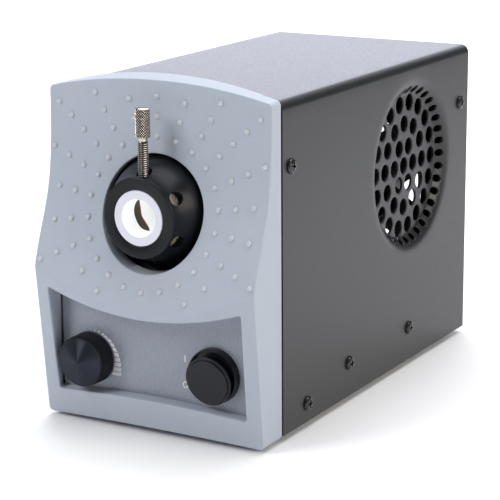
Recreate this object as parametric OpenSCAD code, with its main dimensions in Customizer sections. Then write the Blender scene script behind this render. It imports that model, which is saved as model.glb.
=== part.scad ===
// Fibre light-guide illuminator: steel case, moulded front, light-guide nose, dimmer, rocker switch,
// lamp, transformer, fan and mains inlet. Millimetres, +Z up, origin on the floor under the middle.
// Inside the modules x = 0 is the middle, y = 0 the back of the moulded front and z = 0 the case floor.

/* [Case] */
// Width of the case
case_w = 110; // [106:1:116]
// Depth of the case behind the moulded front
case_d = 190; // [188:1:200]
// Height of the case without the feet
case_h = 144; // [142:1:148]
// Thickness of the cover sheet
cover_t = 1.2; // [1:0.1:1.2]
// Outer radius of the two top folds
fold_r = 4; // [3:0.5:5]
// Height of the rubber feet
foot_h = 3; // [3:0.5:6]

/* [Side vents] */
// Distance of the vent centre behind the moulded front
vent_y = 126.8; // [120:0.1:130]
// Height of the vent centre
vent_z = 94.4; // [90:0.1:96]
// Diameter of the main vent holes
vent_hole_d = 7.8; // [6:0.1:8]
// Pitch of the hole rings
vent_pitch = 10; // [9.5:0.1:10]
// Diameter of the small holes on the sloping wall
vent_small_d = 3.5; // [3:0.1:4.4]

/* [Moulded front] */
// Wall thickness of the moulding
bezel_t = 2.6; // [2.4:0.1:2.8]
// Radius of the round opening for the nose
nose_hole_r = 24.9; // [24.6:0.1:26]
// Columns of the front surface grid
bezel_cols = 16; // [8:2:20]

/* [Light-guide nose] */
// Height of the light axis above the case floor
axis_z = 94.4; // [94:0.1:95]
// Radius of the light-guide bore
bore_r = 8; // [7:0.1:8.2]
// Outer radius of the sleeve
sleeve_r = 11.9; // [11.5:0.1:11.9]
// Distance of the nose face in front of the case
nose_y = 24.2; // [24:0.1:24.6]

/* [Thumbscrew] */
// Radius of the knurled head
thumb_head_r = 3.2; // [3:0.1:4]
// Length of the knurled head
thumb_head_l = 12.4; // [10:0.1:14]
// Radius over the thread of the shank
thumb_shank_r = 2.35; // [2:0.05:2.5]

/* [Controls] */
// Distance of the knob axis left of the middle
knob_x = 33; // [32:0.1:34]
// Height of the knob axis
knob_z = 26.2; // [25:0.1:27]
// Radius of the knob at its base
knob_r = 11.6; // [10:0.1:12]
// Distance of the switch axis right of the middle
switch_x = 30; // [28:0.1:30]
// Height of the switch axis
switch_z = 27.4; // [26:0.1:28]
// Tilt of the rocker from its middle position
rocker_tilt = 8; // [4:1:8]

/* [Fan] */
// Height of the fan axis above the case floor
fan_z = 72; // [70:1:74]
// Number of fan blades
fan_blades = 5; // [5:1:9]
// Resting turn of the rotor
fan_rest = 54; // [0:0.5:71.5]

/* [Hidden] */
$fn = 64;
frame_y = 84.2;
inner_w = case_w/2 - cover_t;
plate_w = inner_w - 0.2;
wall_y = 1.0;
rear_y = case_d;
panel_y = -13.3;
screw_yz = [[8.1, 116.1], [180.6, 116.6], [22.7, 8.3], [62.5, 15.5], [125, 15.9]];

// ---------- helpers ----------
module at_case() translate([0, -frame_y, foot_h]) children();
// extrude a drawing in (x, z) from y0 to y1
module ext_y(y0, y1) translate([0, y1, 0]) rotate([90, 0, 0]) linear_extrude(height = y1 - y0) children();
// cylinder along Y from y0 to y1 at (x, z)
module cyl_y(x, z, y0, y1, r, r2 = -1) translate([x, y1, z]) rotate([90, 0, 0]) cylinder(h = y1 - y0, r1 = r, r2 = r2 < 0 ? r : r2);
module box(x0, x1, y0, y1, z0, z1) translate([x0, y0, z0]) cube([x1 - x0, y1 - y0, z1 - z0]);
// turn a (radius, depth) profile about the light axis: depth is measured towards -Y
module turned(x, z) translate([x, 0, z]) rotate([90, 0, 0]) rotate_extrude($fn = 96) children();
// eight-sided tube through a list of points, its rings square to the mean direction at each point
module wire(pts, r) {
  n = len(pts); k = 8;
  function dir(i) = let (d = pts[min(n - 1, i + 1)] - pts[max(0, i - 1)]) d/norm(d);
  function ring(i) = let (d = dir(i), u0 = cross(d, [0.31, 0.17, 0.94]), u = u0/norm(u0), v = cross(d, u))
    [for (j = [0:k - 1]) pts[i] + r*(cos(j*360/k)*u + sin(j*360/k)*v)];
  points = [for (i = [0:n - 1]) each ring(i)];
  faces = concat([[for (j = [k - 1:-1:0]) j]], [[for (j = [0:k - 1]) (n - 1)*k + j]],
    [for (i = [0:n - 2]) for (j = [0:k - 1]) each [[i*k + j, i*k + (j + 1)%k, (i + 1)*k + (j + 1)%k], [i*k + j, (i + 1)*k + (j + 1)%k, (i + 1)*k + j]]]);
  polyhedron(points = points, faces = faces);
}
// pan-head screw along +Z: head above z = 0, shank below, cross recess
module pan_screw(head_r, head_h, shank_r, len) {
  difference() {
    union() {
      rotate_extrude($fn = 40) polygon([[0, 0], [head_r, 0], [head_r, head_h*0.35], [head_r*0.9, head_h*0.66], [head_r*0.68, head_h*0.9], [head_r*0.4, head_h], [0, head_h]]);
      translate([0, 0, -len]) cylinder(h = len + 0.1, r = shank_r, $fn = 24);
    }
    for (a = [0, 90]) rotate([0, 0, a]) translate([-head_r*0.55, -head_r*0.13, head_h*0.4]) cube([head_r*1.1, head_r*0.26, head_h]);
  }
}
module screw_y(x, z, y, head_r, head_h, shank_r, len, out = -1) // out -1: head towards -Y, 1: head towards +Y
  translate([x, y, z]) rotate([out < 0 ? 90 : -90, 0, 0]) pan_screw(head_r, head_h, shank_r, len);

// ---------- moulded front surface ----------
function sq(v) = v*v;
function smooth(t) = let (u = min(1, max(0, t))) u*u*(3 - 2*u);
// upper face: how far it stands in front of the case
function p_up(x, z) = 7.8 + 3.35*ln(1 + exp((108 - z)/10)) + 2.1*(1 - smooth((z - 72)/32))*sq(x/55);
// lower frame face
function p_low(x, z) = 16.3 + 0.107*z + (1 + 0.05*z)*(1 - sq(x/55));
function p_front(x, z) = min(p_up(x, z), p_low(x, z));
function z_crease(x) = 54.2 + 13.3*sq(x/55);
function z_top(x) = 152.1 - 7.9*pow(abs(x)/55, 2.1);
function z_bot(x) = -0.2 - 1.1*sq(x/55);
// closed solid behind the front surface, shrunk by a margin at the rim and by skin at the front
module front_block(margin, skin, back) {
  n1 = 7; n2 = 16; m = bezel_cols; n = n1 + n2;
  function gx(i) = (i/m*2 - 1)*(case_w/2 - margin);
  function gz(x, j) = let (a = z_bot(x) + margin, c = z_crease(x), b = z_top(x) - margin)
    j <= n1 ? a + (c - a)*j/n1 : c + (b - c)*(j - n1)/n2;
  function zf(x, j) = gz(x, j) - (j == n ? 1.7*(1 - sq(x/55)) : 0);
  front = [for (j = [0:n]) for (i = [0:m]) [gx(i), -p_front(gx(i), gz(gx(i), j)) + skin, zf(gx(i), j)]];
  rear = [for (j = [0:n]) for (i = [0:m]) [gx(i), back, gz(gx(i), j)]];
  o = (m + 1)*(n + 1);
  function id(i, j) = j*(m + 1) + i;
  faces = concat(
    [for (j = [0:n - 1]) for (i = [0:m - 1]) each [[id(i, j), id(i + 1, j + 1), id(i + 1, j)], [id(i, j), id(i, j + 1), id(i + 1, j + 1)]]],
    [for (j = [0:n - 1]) for (i = [0:m - 1]) each [[o + id(i, j), o + id(i + 1, j), o + id(i + 1, j + 1)], [o + id(i, j), o + id(i + 1, j + 1), o + id(i, j + 1)]]],
    [for (i = [0:m - 1]) each [[id(i, 0), id(i + 1, 0), o + id(i + 1, 0)], [id(i, 0), o + id(i + 1, 0), o + id(i, 0)]]],
    [for (i = [0:m - 1]) each [[id(i, n), o + id(i, n), o + id(i + 1, n)], [id(i, n), o + id(i + 1, n), id(i + 1, n)]]],
    [for (j = [0:n - 1]) each [[id(0, j), o + id(0, j), o + id(0, j + 1)], [id(0, j), o + id(0, j + 1), id(0, j + 1)]]],
    [for (j = [0:n - 1]) each [[id(m, j), id(m, j + 1), o + id(m, j + 1)], [id(m, j), o + id(m, j + 1), o + id(m, j)]]]);
  polyhedron(points = concat(front, rear), faces = faces);
}
// control window: straight sides, top edge sagging, bottom edge arched, as points in (x, z)
function window_pts(g) = concat(
  [for (i = [0:12]) let (t = i/6 - 1) [t*(47.6 + g), 11.2 - g + 2.0*(1 - t*t)]],
  [for (i = [0:12]) let (t = 1 - i/6) [t*(48.4 + g), 58.5 + g - 8.3*(1 - t*t)]]);

// ---------- sheet metal ----------
module hood_profile(w, h, r) {
  translate([-w/2, 0]) square([w, h - r]);
  translate([-w/2 + r, 0]) square([w - 2*r, h]);
  for (s = [-1, 1]) translate([s*(w/2 - r), h - r]) circle(r = r);
}
// dished vent, turned about its own axis: outer skin points then the inner skin
dish_pts = [[0, -4.5], [33.2, -4.5], [34, -4.3], [34.8, -3.9], [35.5, -3.3], [36.2, -2.5], [37, -1.75], [38, -1.1], [39.2, -0.55], [40.5, -0.2], [42, 0], [44, 0]];
module dish() rotate_extrude($fn = 96) polygon(concat(dish_pts, [for (i = [len(dish_pts) - 1:-1:0]) [dish_pts[i][0], dish_pts[i][1] - cover_t]]));
module vent_holes() {
  translate([0, 0, -12]) cylinder(h = 24, r = vent_hole_d/2, $fn = 32);
  for (k = [1:3]) for (i = [0:6*k - 1]) rotate([0, 0, i*60/k]) translate([vent_pitch*k, 0, -12]) cylinder(h = 24, r = vent_hole_d/2, $fn = 32);
  for (i = [0:35]) rotate([0, 0, i*10]) translate([36.2, 0, -12]) cylinder(h = 24, r = vent_small_d/2, $fn = 24);
}
// put a shape drawn with +Z as the outward side normal on the right (s = 1) or left (s = -1) wall
module on_side(s) translate([s*case_w/2, vent_y, vent_z]) rotate([0, s*90, 0]) rotate([0, 0, 90]) children();
module cover() at_case() color([0.09, 0.09, 0.1]) {
  difference() {
    union() {
      difference() {
        ext_y(wall_y, rear_y) difference() {
          hood_profile(case_w, case_h, fold_r);
          translate([0, -1]) hood_profile(case_w - 2*cover_t, case_h - cover_t + 1, fold_r - cover_t);
        }
        for (s = [-1, 1]) on_side(s) translate([0, 0, -3]) cylinder(h = 6, r = 43, $fn = 96);
      }
      for (s = [-1, 1]) on_side(s) dish();
    }
    for (s = [-1, 1]) on_side(s) vent_holes();
    for (s = [-1, 1]) for (p = screw_yz) translate([s*case_w/2, p[0], p[1]]) rotate([0, 90, 0]) cylinder(h = 8, r = 1.7, center = true, $fn = 24);
  }
}
module cover_screws() at_case() color([0.12, 0.12, 0.13])
  for (s = [-1, 1]) for (p = screw_yz) translate([s*case_w/2, p[0], p[1]]) rotate([0, s*90, 0]) rotate([0, 0, 20 + p[0]*7]) pan_screw(3.3, 1.6, 1.5, 4.6);

boss_xz = [[-45, 136], [45, 136], [-40, 5.4], [40, 5.4]];
stand_xz = [[-43, 16], [43, 16], [-43, 54], [43, 54]];
bracket_xz = [[-36.5, axis_z - 13], [36.5, axis_z - 13], [-36.5, axis_z + 13], [36.5, axis_z + 13]];
rivet_x = [-30, 0, 30];
// floor pan: floor, two side flanges, a front flange and two rear tabs
module base_pan() at_case() color([0.62, 0.63, 0.65]) difference() {
  union() {
    box(-plate_w, plate_w, wall_y + 1.5, rear_y - 1.6, 0, 1.5);
    for (s = [-1, 1]) box(s > 0 ? plate_w - 1.5 : -plate_w, s > 0 ? plate_w : -plate_w + 1.5, wall_y + 1.5, rear_y - 3.2, 0, 22);
    box(-34, 34, wall_y + 1.5, wall_y + 3, 0, 8);
    box(26, 50, rear_y - 3.1, rear_y - 1.6, 0, 20);
    box(-50, -44, rear_y - 3.1, rear_y - 1.6, 0, 20);
  }
  for (x = rivet_x) cyl_y(x, 5, wall_y, wall_y + 4, 1.25, $fn = 24);
  for (s = [-1, 1]) {
    for (p = [screw_yz[2], screw_yz[3], screw_yz[4]]) translate([s*(case_w/2 - 2), p[0], p[1]]) rotate([0, 90, 0]) cylinder(h = 5, r = 1.55, center = true, $fn = 24);
    for (y = [16, 176]) translate([s*41, y, -1]) cylinder(h = 4, r = 1.6, $fn = 24);
    for (y = [30, 54]) translate([s*40, y, -1]) cylinder(h = 4, r = 1.3, $fn = 24);
    translate([s*38, 94, -1]) cylinder(h = 4, r = 1.6, $fn = 24);
    cyl_y(s*47, 10, rear_y - 5, rear_y, 1.55, $fn = 24);
  }
}
// front plate with two ears for the cover screws
module front_plate() at_case() color([0.62, 0.63, 0.65]) difference() {
  union() {
    ext_y(wall_y, wall_y + 1.5) hood_profile(2*plate_w, case_h - 1.6, fold_r - cover_t - 0.2);
    for (s = [-1, 1]) box(s > 0 ? plate_w - 1.5 : -plate_w, s > 0 ? plate_w : -plate_w + 1.5, wall_y + 0.5, 15, 108, 124);
  }
  cyl_y(0, axis_z, wall_y - 1, wall_y + 3, sleeve_r + 0.3);
  cyl_y(switch_x, switch_z, wall_y - 1, wall_y + 3, 11);
  cyl_y(-12, 30, wall_y - 1, wall_y + 3, 5);
  for (p = concat(boss_xz, stand_xz, bracket_xz)) cyl_y(p[0], p[1], wall_y - 1, wall_y + 3, 1.6, $fn = 24);
  for (a = [45:90:315]) cyl_y(21.5*cos(a), axis_z + 21.5*sin(a), wall_y - 1, wall_y + 3, 1.6, $fn = 24);
  for (x = rivet_x) cyl_y(x, 5, wall_y - 1, wall_y + 3, 1.25, $fn = 24);
  for (s = [-1, 1]) {
    cyl_y(s*22.5, axis_z, wall_y - 1, wall_y + 3, 1.6, $fn = 24);
    translate([s*(case_w/2 - 2), 8.1, 116.1]) rotate([0, 90, 0]) cylinder(h = 5, r = 1.55, center = true, $fn = 24);
  }
}
module chassis_rivets() at_case() color([0.8, 0.8, 0.8]) for (x = rivet_x) {
  cyl_y(x, 5, wall_y - 0.6, wall_y + 3.6, 1.24, $fn = 24);
  cyl_y(x, 5, wall_y - 0.6, wall_y, 2.4, $fn = 32);
  cyl_y(x, 5, wall_y + 3, wall_y + 3.8, 2, $fn = 32);
}
module rear_panel() at_case() color([0.1, 0.1, 0.11]) difference() {
  union() {
    ext_y(rear_y - 1.5, rear_y) translate([0, 1.6]) hood_profile(2*plate_w, case_h - 3.2, fold_r - cover_t - 0.2);
    for (s = [-1, 1]) box(s > 0 ? plate_w - 1.5 : -plate_w, s > 0 ? plate_w : -plate_w + 1.5, rear_y - 17, rear_y, 108, 125);
  }
  cyl_y(0, fan_z, rear_y - 3, rear_y + 1, 38);
  for (sx = [-1, 1]) for (sz = [-1, 1]) cyl_y(sx*35.75, fan_z + sz*35.75, rear_y - 3, rear_y + 1, 2.1, $fn = 24);
  for (s = [-1, 1]) {
    cyl_y(s*47, 10, rear_y - 3, rear_y + 1, 1.6, $fn = 24);
    translate([s*(case_w/2 - 2), 180.6, 116.6]) rotate([0, 90, 0]) cylinder(h = 5, r = 1.55, center = true, $fn = 24);
  }
  box(-38.2, 16.2, rear_y - 3, rear_y + 1, 5.8, 28.2);
}
module rear_screws() at_case() color([0.75, 0.75, 0.76]) for (s = [-1, 1]) screw_y(s*47, 10, rear_y, 2.8, 1.7, 1.5, 5, 1);
module rubber_feet() at_case() color([0.07, 0.07, 0.07]) for (sx = [-1, 1]) for (y = [16, 176])
  translate([sx*41, y, -foot_h]) difference() {
    rotate_extrude() polygon([[0, 0], [6, 0], [6.6, 0.5], [7.2, foot_h], [0, foot_h]]);
    translate([0, 0, -1]) cylinder(h = 2.8, r = 3.4, $fn = 32);
    translate([0, 0, 1]) cylinder(h = foot_h, r = 1.7, $fn = 24);
  }
module feet_screws() at_case() color([0.75, 0.75, 0.76]) for (sx = [-1, 1]) for (y = [16, 176])
  translate([sx*41, y, -foot_h + 1.8]) rotate([180, 0, 0]) pan_screw(2.8, 1.4, 1.5, foot_h + 2);

// ---------- moulded front ----------
module front_bezel() at_case() color([0.66, 0.7, 0.75]) difference() {
  union() {
    difference() {
      front_block(0, 0, 0);
      difference() {
        front_block(bezel_t, bezel_t + 0.4, 1);
        // rim wall round the control window, back to the panel
        ext_y(-30, panel_y - 0.1) polygon(window_pts(2.2));
        // rim wall round the nose hole, ending on a sloping plane short of the flange
        intersection() {
          cyl_y(0, axis_z, -40, -4.5, nose_hole_r + 1.8, $fn = 96);
          translate([0, -13, 69.5]) rotate([-9.69, 0, 0]) translate([-40, -60, -60]) cube([80, 60, 130]);
        }
      }
    }
    for (p = boss_xz) cyl_y(p[0], p[1], p[1] > 60 ? -7 : -15.5, wall_y, 3);
  }
  cyl_y(0, axis_z, -40, 2, nose_hole_r, $fn = 96);
  ext_y(-40, 2) polygon(window_pts(0));
  for (p = boss_xz) cyl_y(p[0], p[1], -5.5, 3, 1.5, $fn = 24);
}
module bezel_screws() at_case() color([0.75, 0.75, 0.76]) for (p = boss_xz) screw_y(p[0], p[1], wall_y + 1.5, 2.7, 1.7, 1.45, 6.5, 1);
module control_panel() at_case() color([0.52, 0.54, 0.57]) difference() {
  box(-48, 48, panel_y, panel_y + 1.2, 9.5, 60);
  cyl_y(-knob_x, knob_z, panel_y - 1, panel_y + 3, 3.6, $fn = 32);
  cyl_y(switch_x, switch_z, panel_y - 1, panel_y + 3, 10);
}
module panel_standoffs() at_case() color([0.78, 0.78, 0.8]) for (p = stand_xz) difference() {
  cyl_y(p[0], p[1], panel_y + 1.2, wall_y, 3.2, $fn = 6);
  cyl_y(p[0], p[1], wall_y - 7, wall_y + 1, 1.5, $fn = 24);
}
module panel_screws() at_case() color([0.75, 0.75, 0.76]) for (p = stand_xz) screw_y(p[0], p[1], wall_y + 1.5, 2.7, 1.7, 1.45, 7, 1);

// ---------- light-guide nose ----------
// bell profile as (radius, distance in front of the case)
bell_pts = [[28, -wall_y], [28, 2], [25, 2], [24.9, 3], [24.3, 5], [23.7, 7], [23, 9.5], [22.3, 11.5], [21.5, 13.2], [20.7, 14.8], [19.9, 16.3], [19.2, 17.7], [18.6, 19], [18.1, 20.3], [17.75, 21.6], [17.5, 22.8], [17.4, nose_y - 0.4], [17, nose_y]];
module nose_ring() at_case() color([0.05, 0.05, 0.055]) difference() {
  turned(0, axis_z) polygon(concat([[sleeve_r + 0.05, -wall_y]], bell_pts, [[sleeve_r + 0.3, nose_y], [sleeve_r + 0.05, nose_y - 0.25]]));
  for (a = [30, 150, 210, 270, 330]) translate([0, -19.5, axis_z]) rotate([0, 90 - a, 0]) translate([0, 0, 5]) cylinder(h = 20, r = 3.05, $fn = 40);
  translate([0, -19.3, axis_z]) {
    translate([0, 0, 5]) cylinder(h = 20, r = thumb_shank_r + 0.08, $fn = 40);
    translate([0, 0, 15.5]) cylinder(h = 10, r = 3.1, $fn = 40);
  }
  for (a = [45:90:315]) cyl_y(21.5*cos(a), axis_z + 21.5*sin(a), -7, 3, 1.5, $fn = 24);
}
module port_sleeve() at_case() color([0.93, 0.93, 0.95]) difference() {
  turned(0, axis_z) polygon([[bore_r, -2.4], [sleeve_r, -2.4], [sleeve_r, nose_y - 0.2], [sleeve_r - 0.2, nose_y], [bore_r + 0.3, nose_y], [bore_r, nose_y - 0.3]]);
  translate([0, -19.3, axis_z]) cylinder(h = 20, r = thumb_shank_r + 0.15, $fn = 40);
}
module nose_set_screws() at_case() color([0.8, 0.79, 0.76]) for (a = [30, 150, 210, 270, 330])
  translate([0, -19.5, axis_z]) rotate([0, 90 - a, 0]) difference() {
    translate([0, 0, sleeve_r + 0.05]) cylinder(h = 16.9 - sleeve_r - 0.05, r = 2.98, $fn = 40);
    translate([0, 0, 14.4]) cylinder(h = 5, r = 1.73, $fn = 6);
  }
module nose_screws() at_case() color([0.75, 0.75, 0.76]) for (a = [45:90:315]) screw_y(21.5*cos(a), axis_z + 21.5*sin(a), wall_y + 1.5, 2.6, 1.7, 1.45, 7.5, 1);
module thumbscrew() at_case() color([0.78, 0.76, 0.72]) translate([0, -19.3, axis_z]) difference() {
  rotate_extrude() polygon([[0, 10], [1.9, 10], [thumb_shank_r, 10.5], [thumb_shank_r, 32.8], [thumb_shank_r - 0.35, 33.6], [thumb_head_r - 0.3, 33.6], [thumb_head_r, 33.9],
    [thumb_head_r, 33.6 + thumb_head_l - 0.6], [thumb_head_r - 0.6, 33.6 + thumb_head_l], [0, 33.6 + thumb_head_l]]);
  translate([0, 0, 9]) cylinder(h = 2.9, r = 0.83, $fn = 24);
}
module clamp_tip() at_case() color([0.9, 0.9, 0.86]) translate([0, -19.3, axis_z])
  rotate_extrude($fn = 40) polygon([[0, 8.15], [1.4, 8.15], [1.7, 8.45], [1.7, 9.8], [0.77, 9.8], [0.77, 11.7], [0, 11.7]]);

// ---------- dimmer ----------
module dial_knob() at_case() color([0.05, 0.05, 0.055]) difference() {
  turned(-knob_x, knob_z) polygon([[0, 13.6], [knob_r - 0.3, 13.6], [knob_r, 13.9], [knob_r - 0.3, 22.3], [knob_r - 0.6, 22.6], [1.2, 25.1], [0, 25.4]]);
  cyl_y(-knob_x, knob_z, -18.2, -13, 8);
  cyl_y(-knob_x, knob_z, -21.6, -13, 3.02, $fn = 40);
  translate([-knob_x, -19.9, knob_z]) rotate([0, 180, 0]) cylinder(h = 20, r = 1.05, $fn = 24);
}
module knob_grub_screw() at_case() color([0.5, 0.5, 0.52]) translate([-knob_x, -19.9, knob_z]) rotate([0, 180, 0]) difference() {
  translate([0, 0, 3.1]) cylinder(h = 6.5, r = 1, $fn = 24);
  translate([0, 0, 8.2]) cylinder(h = 3, r = 0.6, $fn = 6);
}
module pot_shaft() at_case() color([0.8, 0.8, 0.82]) cyl_y(-knob_x, knob_z, -21.4, -7.2, 2.98, $fn = 40);
module potentiometer() at_case() color([0.35, 0.36, 0.38]) difference() {
  union() {
    cyl_y(-knob_x, knob_z, -17.4, panel_y + 1.2, 3.5, $fn = 40);
    cyl_y(-knob_x, knob_z, panel_y + 1.2, -2.5, 8.2);
    for (i = [-1:1]) box(-knob_x + i*5 - 0.8, -knob_x + i*5 + 0.8, -6.5, -5.7, knob_z - 13, knob_z - 7);
  }
  cyl_y(-knob_x, knob_z, -18, -7, 3.05, $fn = 40);
}
module pot_nut() at_case() color([0.8, 0.8, 0.82]) difference() {
  union() {
    cyl_y(-knob_x, knob_z, panel_y - 0.6, panel_y, 6.2);
    cyl_y(-knob_x, knob_z, panel_y - 2.8, panel_y - 0.6, 5.8, $fn = 6);
  }
  cyl_y(-knob_x, knob_z, panel_y - 4, panel_y + 1, 3.55, $fn = 40);
}

// ---------- rocker switch ----------
// axes at the rocker pivot: +Z of the drawing points out of the panel, tilted to the pressed-in lower side
pivot_y = -10.5;
module rocker_axes() translate([switch_x, pivot_y, switch_z]) rotate([rocker_tilt, 0, 0]) rotate([90, 0, 0]) children();
module switch_body() at_case() color([0.06, 0.06, 0.065]) difference() {
  union() {
    turned(switch_x, switch_z) polygon([[8, -panel_y], [12.2, -panel_y], [11.95, -panel_y + 2.9], [11.6, -panel_y + 3.3], [11.4, -panel_y + 3.3], [11.2, -panel_y + 3.1], [11.2, -panel_y + 1.2], [8, -panel_y + 1.2]]);
    cyl_y(switch_x, switch_z, panel_y, 10, 9.9);
  }
  cyl_y(switch_x, switch_z, panel_y - 3, -6.5, 8.2);
  translate([switch_x, pivot_y, switch_z]) rotate([0, 90, 0]) cylinder(h = 19, r = 1.07, center = true, $fn = 32);
}
module switch_nut() at_case() color([0.07, 0.07, 0.075]) difference() {
  cyl_y(switch_x, switch_z, panel_y + 1.2, panel_y + 3.8, 12.6, $fn = 12);
  cyl_y(switch_x, switch_z, panel_y, panel_y + 5, 9.95);
}
module switch_terminals() at_case() color([0.75, 0.62, 0.3]) for (i = [-1:1]) box(switch_x - 2.4, switch_x + 2.4, 10, 18, switch_z + i*5 - 0.4, switch_z + i*5 + 0.4);
module switch_rocker() at_case() color([0.1, 0.1, 0.1]) {
  rocker_axes() translate([0, 0, -2]) cylinder(h = 7.9, r = 7, $fn = 64);
  translate([switch_x, pivot_y, switch_z]) rotate([0, 90, 0]) cylinder(h = 18.6, r = 1, center = true, $fn = 32);
}
module switch_boot() at_case() color([0.06, 0.06, 0.065]) rocker_axes()
  rotate_extrude($fn = 96) polygon([[0, 5.9], [9.4, 5.9], [9.6, 6.1], [9.6, 8], [10.8, 8], [11, 8.2], [11, 8.7], [10.8, 8.95], [9.9, 8.95], [9.9, 9.5], [9.5, 10], [0, 10]]);

// ---------- lamp and filter ----------
module lamp_reflector() at_case() color([0.85, 0.88, 0.92, 0.6]) turned(0, axis_z)
  polygon([[25, -40], [25, -41.5], [24, -44], [22, -48], [18.5, -53], [14, -57.5], [9, -61], [7.4, -62.5], [7.4, -68], [6.4, -68], [6.4, -61.8], [8.4, -59.8], [13.2, -56.3], [17.5, -52], [20.9, -47.2], [22.9, -43.2], [23.6, -41], [23.6, -40]]);
module lamp_capsule() at_case() color([0.9, 0.9, 0.85, 0.5]) turned(0, axis_z) polygon([[0, -46], [2.5, -46.6], [4, -48.4], [4.4, -51], [4.4, -60], [3.4, -63], [2.6, -64.4], [0, -64.4]]);
module lamp_base() at_case() color([0.9, 0.88, 0.82]) {
  cyl_y(0, axis_z, 64.5, 71, 6.2);
  for (s = [-1, 1]) cyl_y(s*2.65, axis_z, 70.9, 78, 0.7, $fn = 20);
}
module lamp_socket() at_case() color([0.92, 0.9, 0.85]) difference() {
  cyl_y(0, axis_z, 71.2, 82, 9.5);
  for (s = [-1, 1]) cyl_y(s*2.65, axis_z, 70, 79, 0.8, $fn = 20);
}
module lamp_bracket() at_case() color([0.7, 0.71, 0.73]) difference() {
  union() {
    box(-31.5, 31.5, 38.3, 39.8, axis_z - 28, axis_z + 28);
    for (s = [-1, 1]) {
      box(s > 0 ? 30 : -31.5, s > 0 ? 31.5 : -30, wall_y + 1.5, 39, axis_z - 22, axis_z + 22);
      box(s > 0 ? 30 : -42, s > 0 ? 42 : -30, wall_y + 1.5, wall_y + 3, axis_z - 22, axis_z + 22);
    }
  }
  cyl_y(0, axis_z, 37, 41, 22.5, $fn = 96);
  for (p = bracket_xz) cyl_y(p[0], p[1], wall_y, wall_y + 4, 1.6, $fn = 24);
  for (s = [-1, 1]) cyl_y(s*27.6, axis_z, 37, 41, 1.3, $fn = 24);
}
module lamp_clips() at_case() color([0.8, 0.8, 0.82]) for (s = [-1, 1]) {
  box(s > 0 ? 26.2 : -29, s > 0 ? 29 : -26.2, 39.9, 46, axis_z - 4, axis_z + 4);
  box(s > 0 ? 23.9 : -26.3, s > 0 ? 26.3 : -23.9, 45, 46, axis_z - 4, axis_z + 4);
  cyl_y(s*27.6, axis_z, 38.4, 40, 1.2, $fn = 24);
}
module bracket_screws() at_case() color([0.75, 0.75, 0.76]) for (p = bracket_xz) screw_y(p[0], p[1], wall_y + 3, 2.7, 1.7, 1.5, 3.5, 1);
module filter_holder() at_case() color([0.7, 0.71, 0.73]) difference() {
  union() {
    cyl_y(0, axis_z, wall_y + 1.5, 18, 17.5);
    box(-26, 26, wall_y + 1.5, wall_y + 3, axis_z - 4, axis_z + 4);
  }
  cyl_y(0, axis_z, 0, 20, 13);
  cyl_y(0, axis_z, 14, 20, 15.2);
  for (s = [-1, 1]) cyl_y(s*22.5, axis_z, wall_y, wall_y + 4, 1.5, $fn = 24);
}
module heat_filter() at_case() color([0.7, 0.85, 0.85, 0.4]) cyl_y(0, axis_z, 14, 17, 15.1);
module filter_screws() at_case() color([0.75, 0.75, 0.76]) for (s = [-1, 1]) screw_y(s*22.5, axis_z, wall_y + 3, 2.6, 1.6, 1.4, 2.9, 1);

// ---------- transformer ----------
module transformer_core() at_case() color([0.4, 0.4, 0.42]) difference() {
  box(-33, 33, 76, 112, 3, 58);
  for (s = [-1, 1]) box(s > 0 ? 11 : -22, s > 0 ? 22 : -11, 70, 120, 14, 47);
}
module transformer_coil() at_case() color([0.72, 0.45, 0.2]) difference() {
  box(-21.7, 21.7, 67, 121, 14.3, 46.7);
  box(-11.2, 11.2, 75.8, 112.2, 10, 50);
  for (s = [-1, 1]) box(s > 0 ? 21.9 : -34, s > 0 ? 34 : -21.9, 75.8, 112.2, 10, 50);
}
module transformer_plate() at_case() color([0.7, 0.71, 0.73]) difference() {
  box(-43, 43, 80, 108, 1.5, 3);
  for (s = [-1, 1]) translate([s*38, 94, 0]) cylinder(h = 5, r = 1.6, $fn = 24);
}
module transformer_screws() at_case() color([0.75, 0.75, 0.76]) for (s = [-1, 1]) translate([s*38, 94, 3]) pan_screw(2.8, 1.8, 1.5, 3);

// ---------- dimmer board ----------
module circuit_board() at_case() color([0.1, 0.35, 0.2]) difference() {
  box(-45, 45, 26, 58, 9, 10.6);
  for (s = [-1, 1]) for (y = [30, 54]) translate([s*40, y, 8]) cylinder(h = 4, r = 1.6, $fn = 24);
}
module board_components() at_case() color([0.2, 0.2, 0.25]) {
  for (x = [-30, -18]) translate([x, 50, 10.6]) cylinder(h = 15, r = 5, $fn = 40);
  translate([-26, 36, 10.6]) difference() { cylinder(h = 8, r = 8, $fn = 48); translate([0, 0, -1]) cylinder(h = 10, r = 3.4, $fn = 32); }
  box(-10, 2, 31, 37, 10.6, 21);
  box(8, 26, 48, 55, 10.6, 20);
  box(32, 36, 32, 40, 10.6, 16);
}
module heat_sink() at_case() color([0.75, 0.76, 0.78]) {
  box(6, 30, 38, 40, 10.6, 34);
  for (i = [0:5]) box(6 + i*4.6, 7 + i*4.6, 39.5, 46, 10.6, 34);
}
module board_standoffs() at_case() color([0.85, 0.85, 0.8]) for (s = [-1, 1]) for (y = [30, 54]) translate([s*40, y, 1.5]) difference() {
  cylinder(h = 7.5, r = 3, $fn = 6);
  translate([0, 0, -1]) cylinder(h = 10, r = 1.55, $fn = 24);
}
module board_screws() at_case() color([0.75, 0.75, 0.76]) for (s = [-1, 1]) for (y = [30, 54]) translate([s*40, y, 10.6]) pan_screw(2.6, 1.6, 1.45, 8.5);

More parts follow.
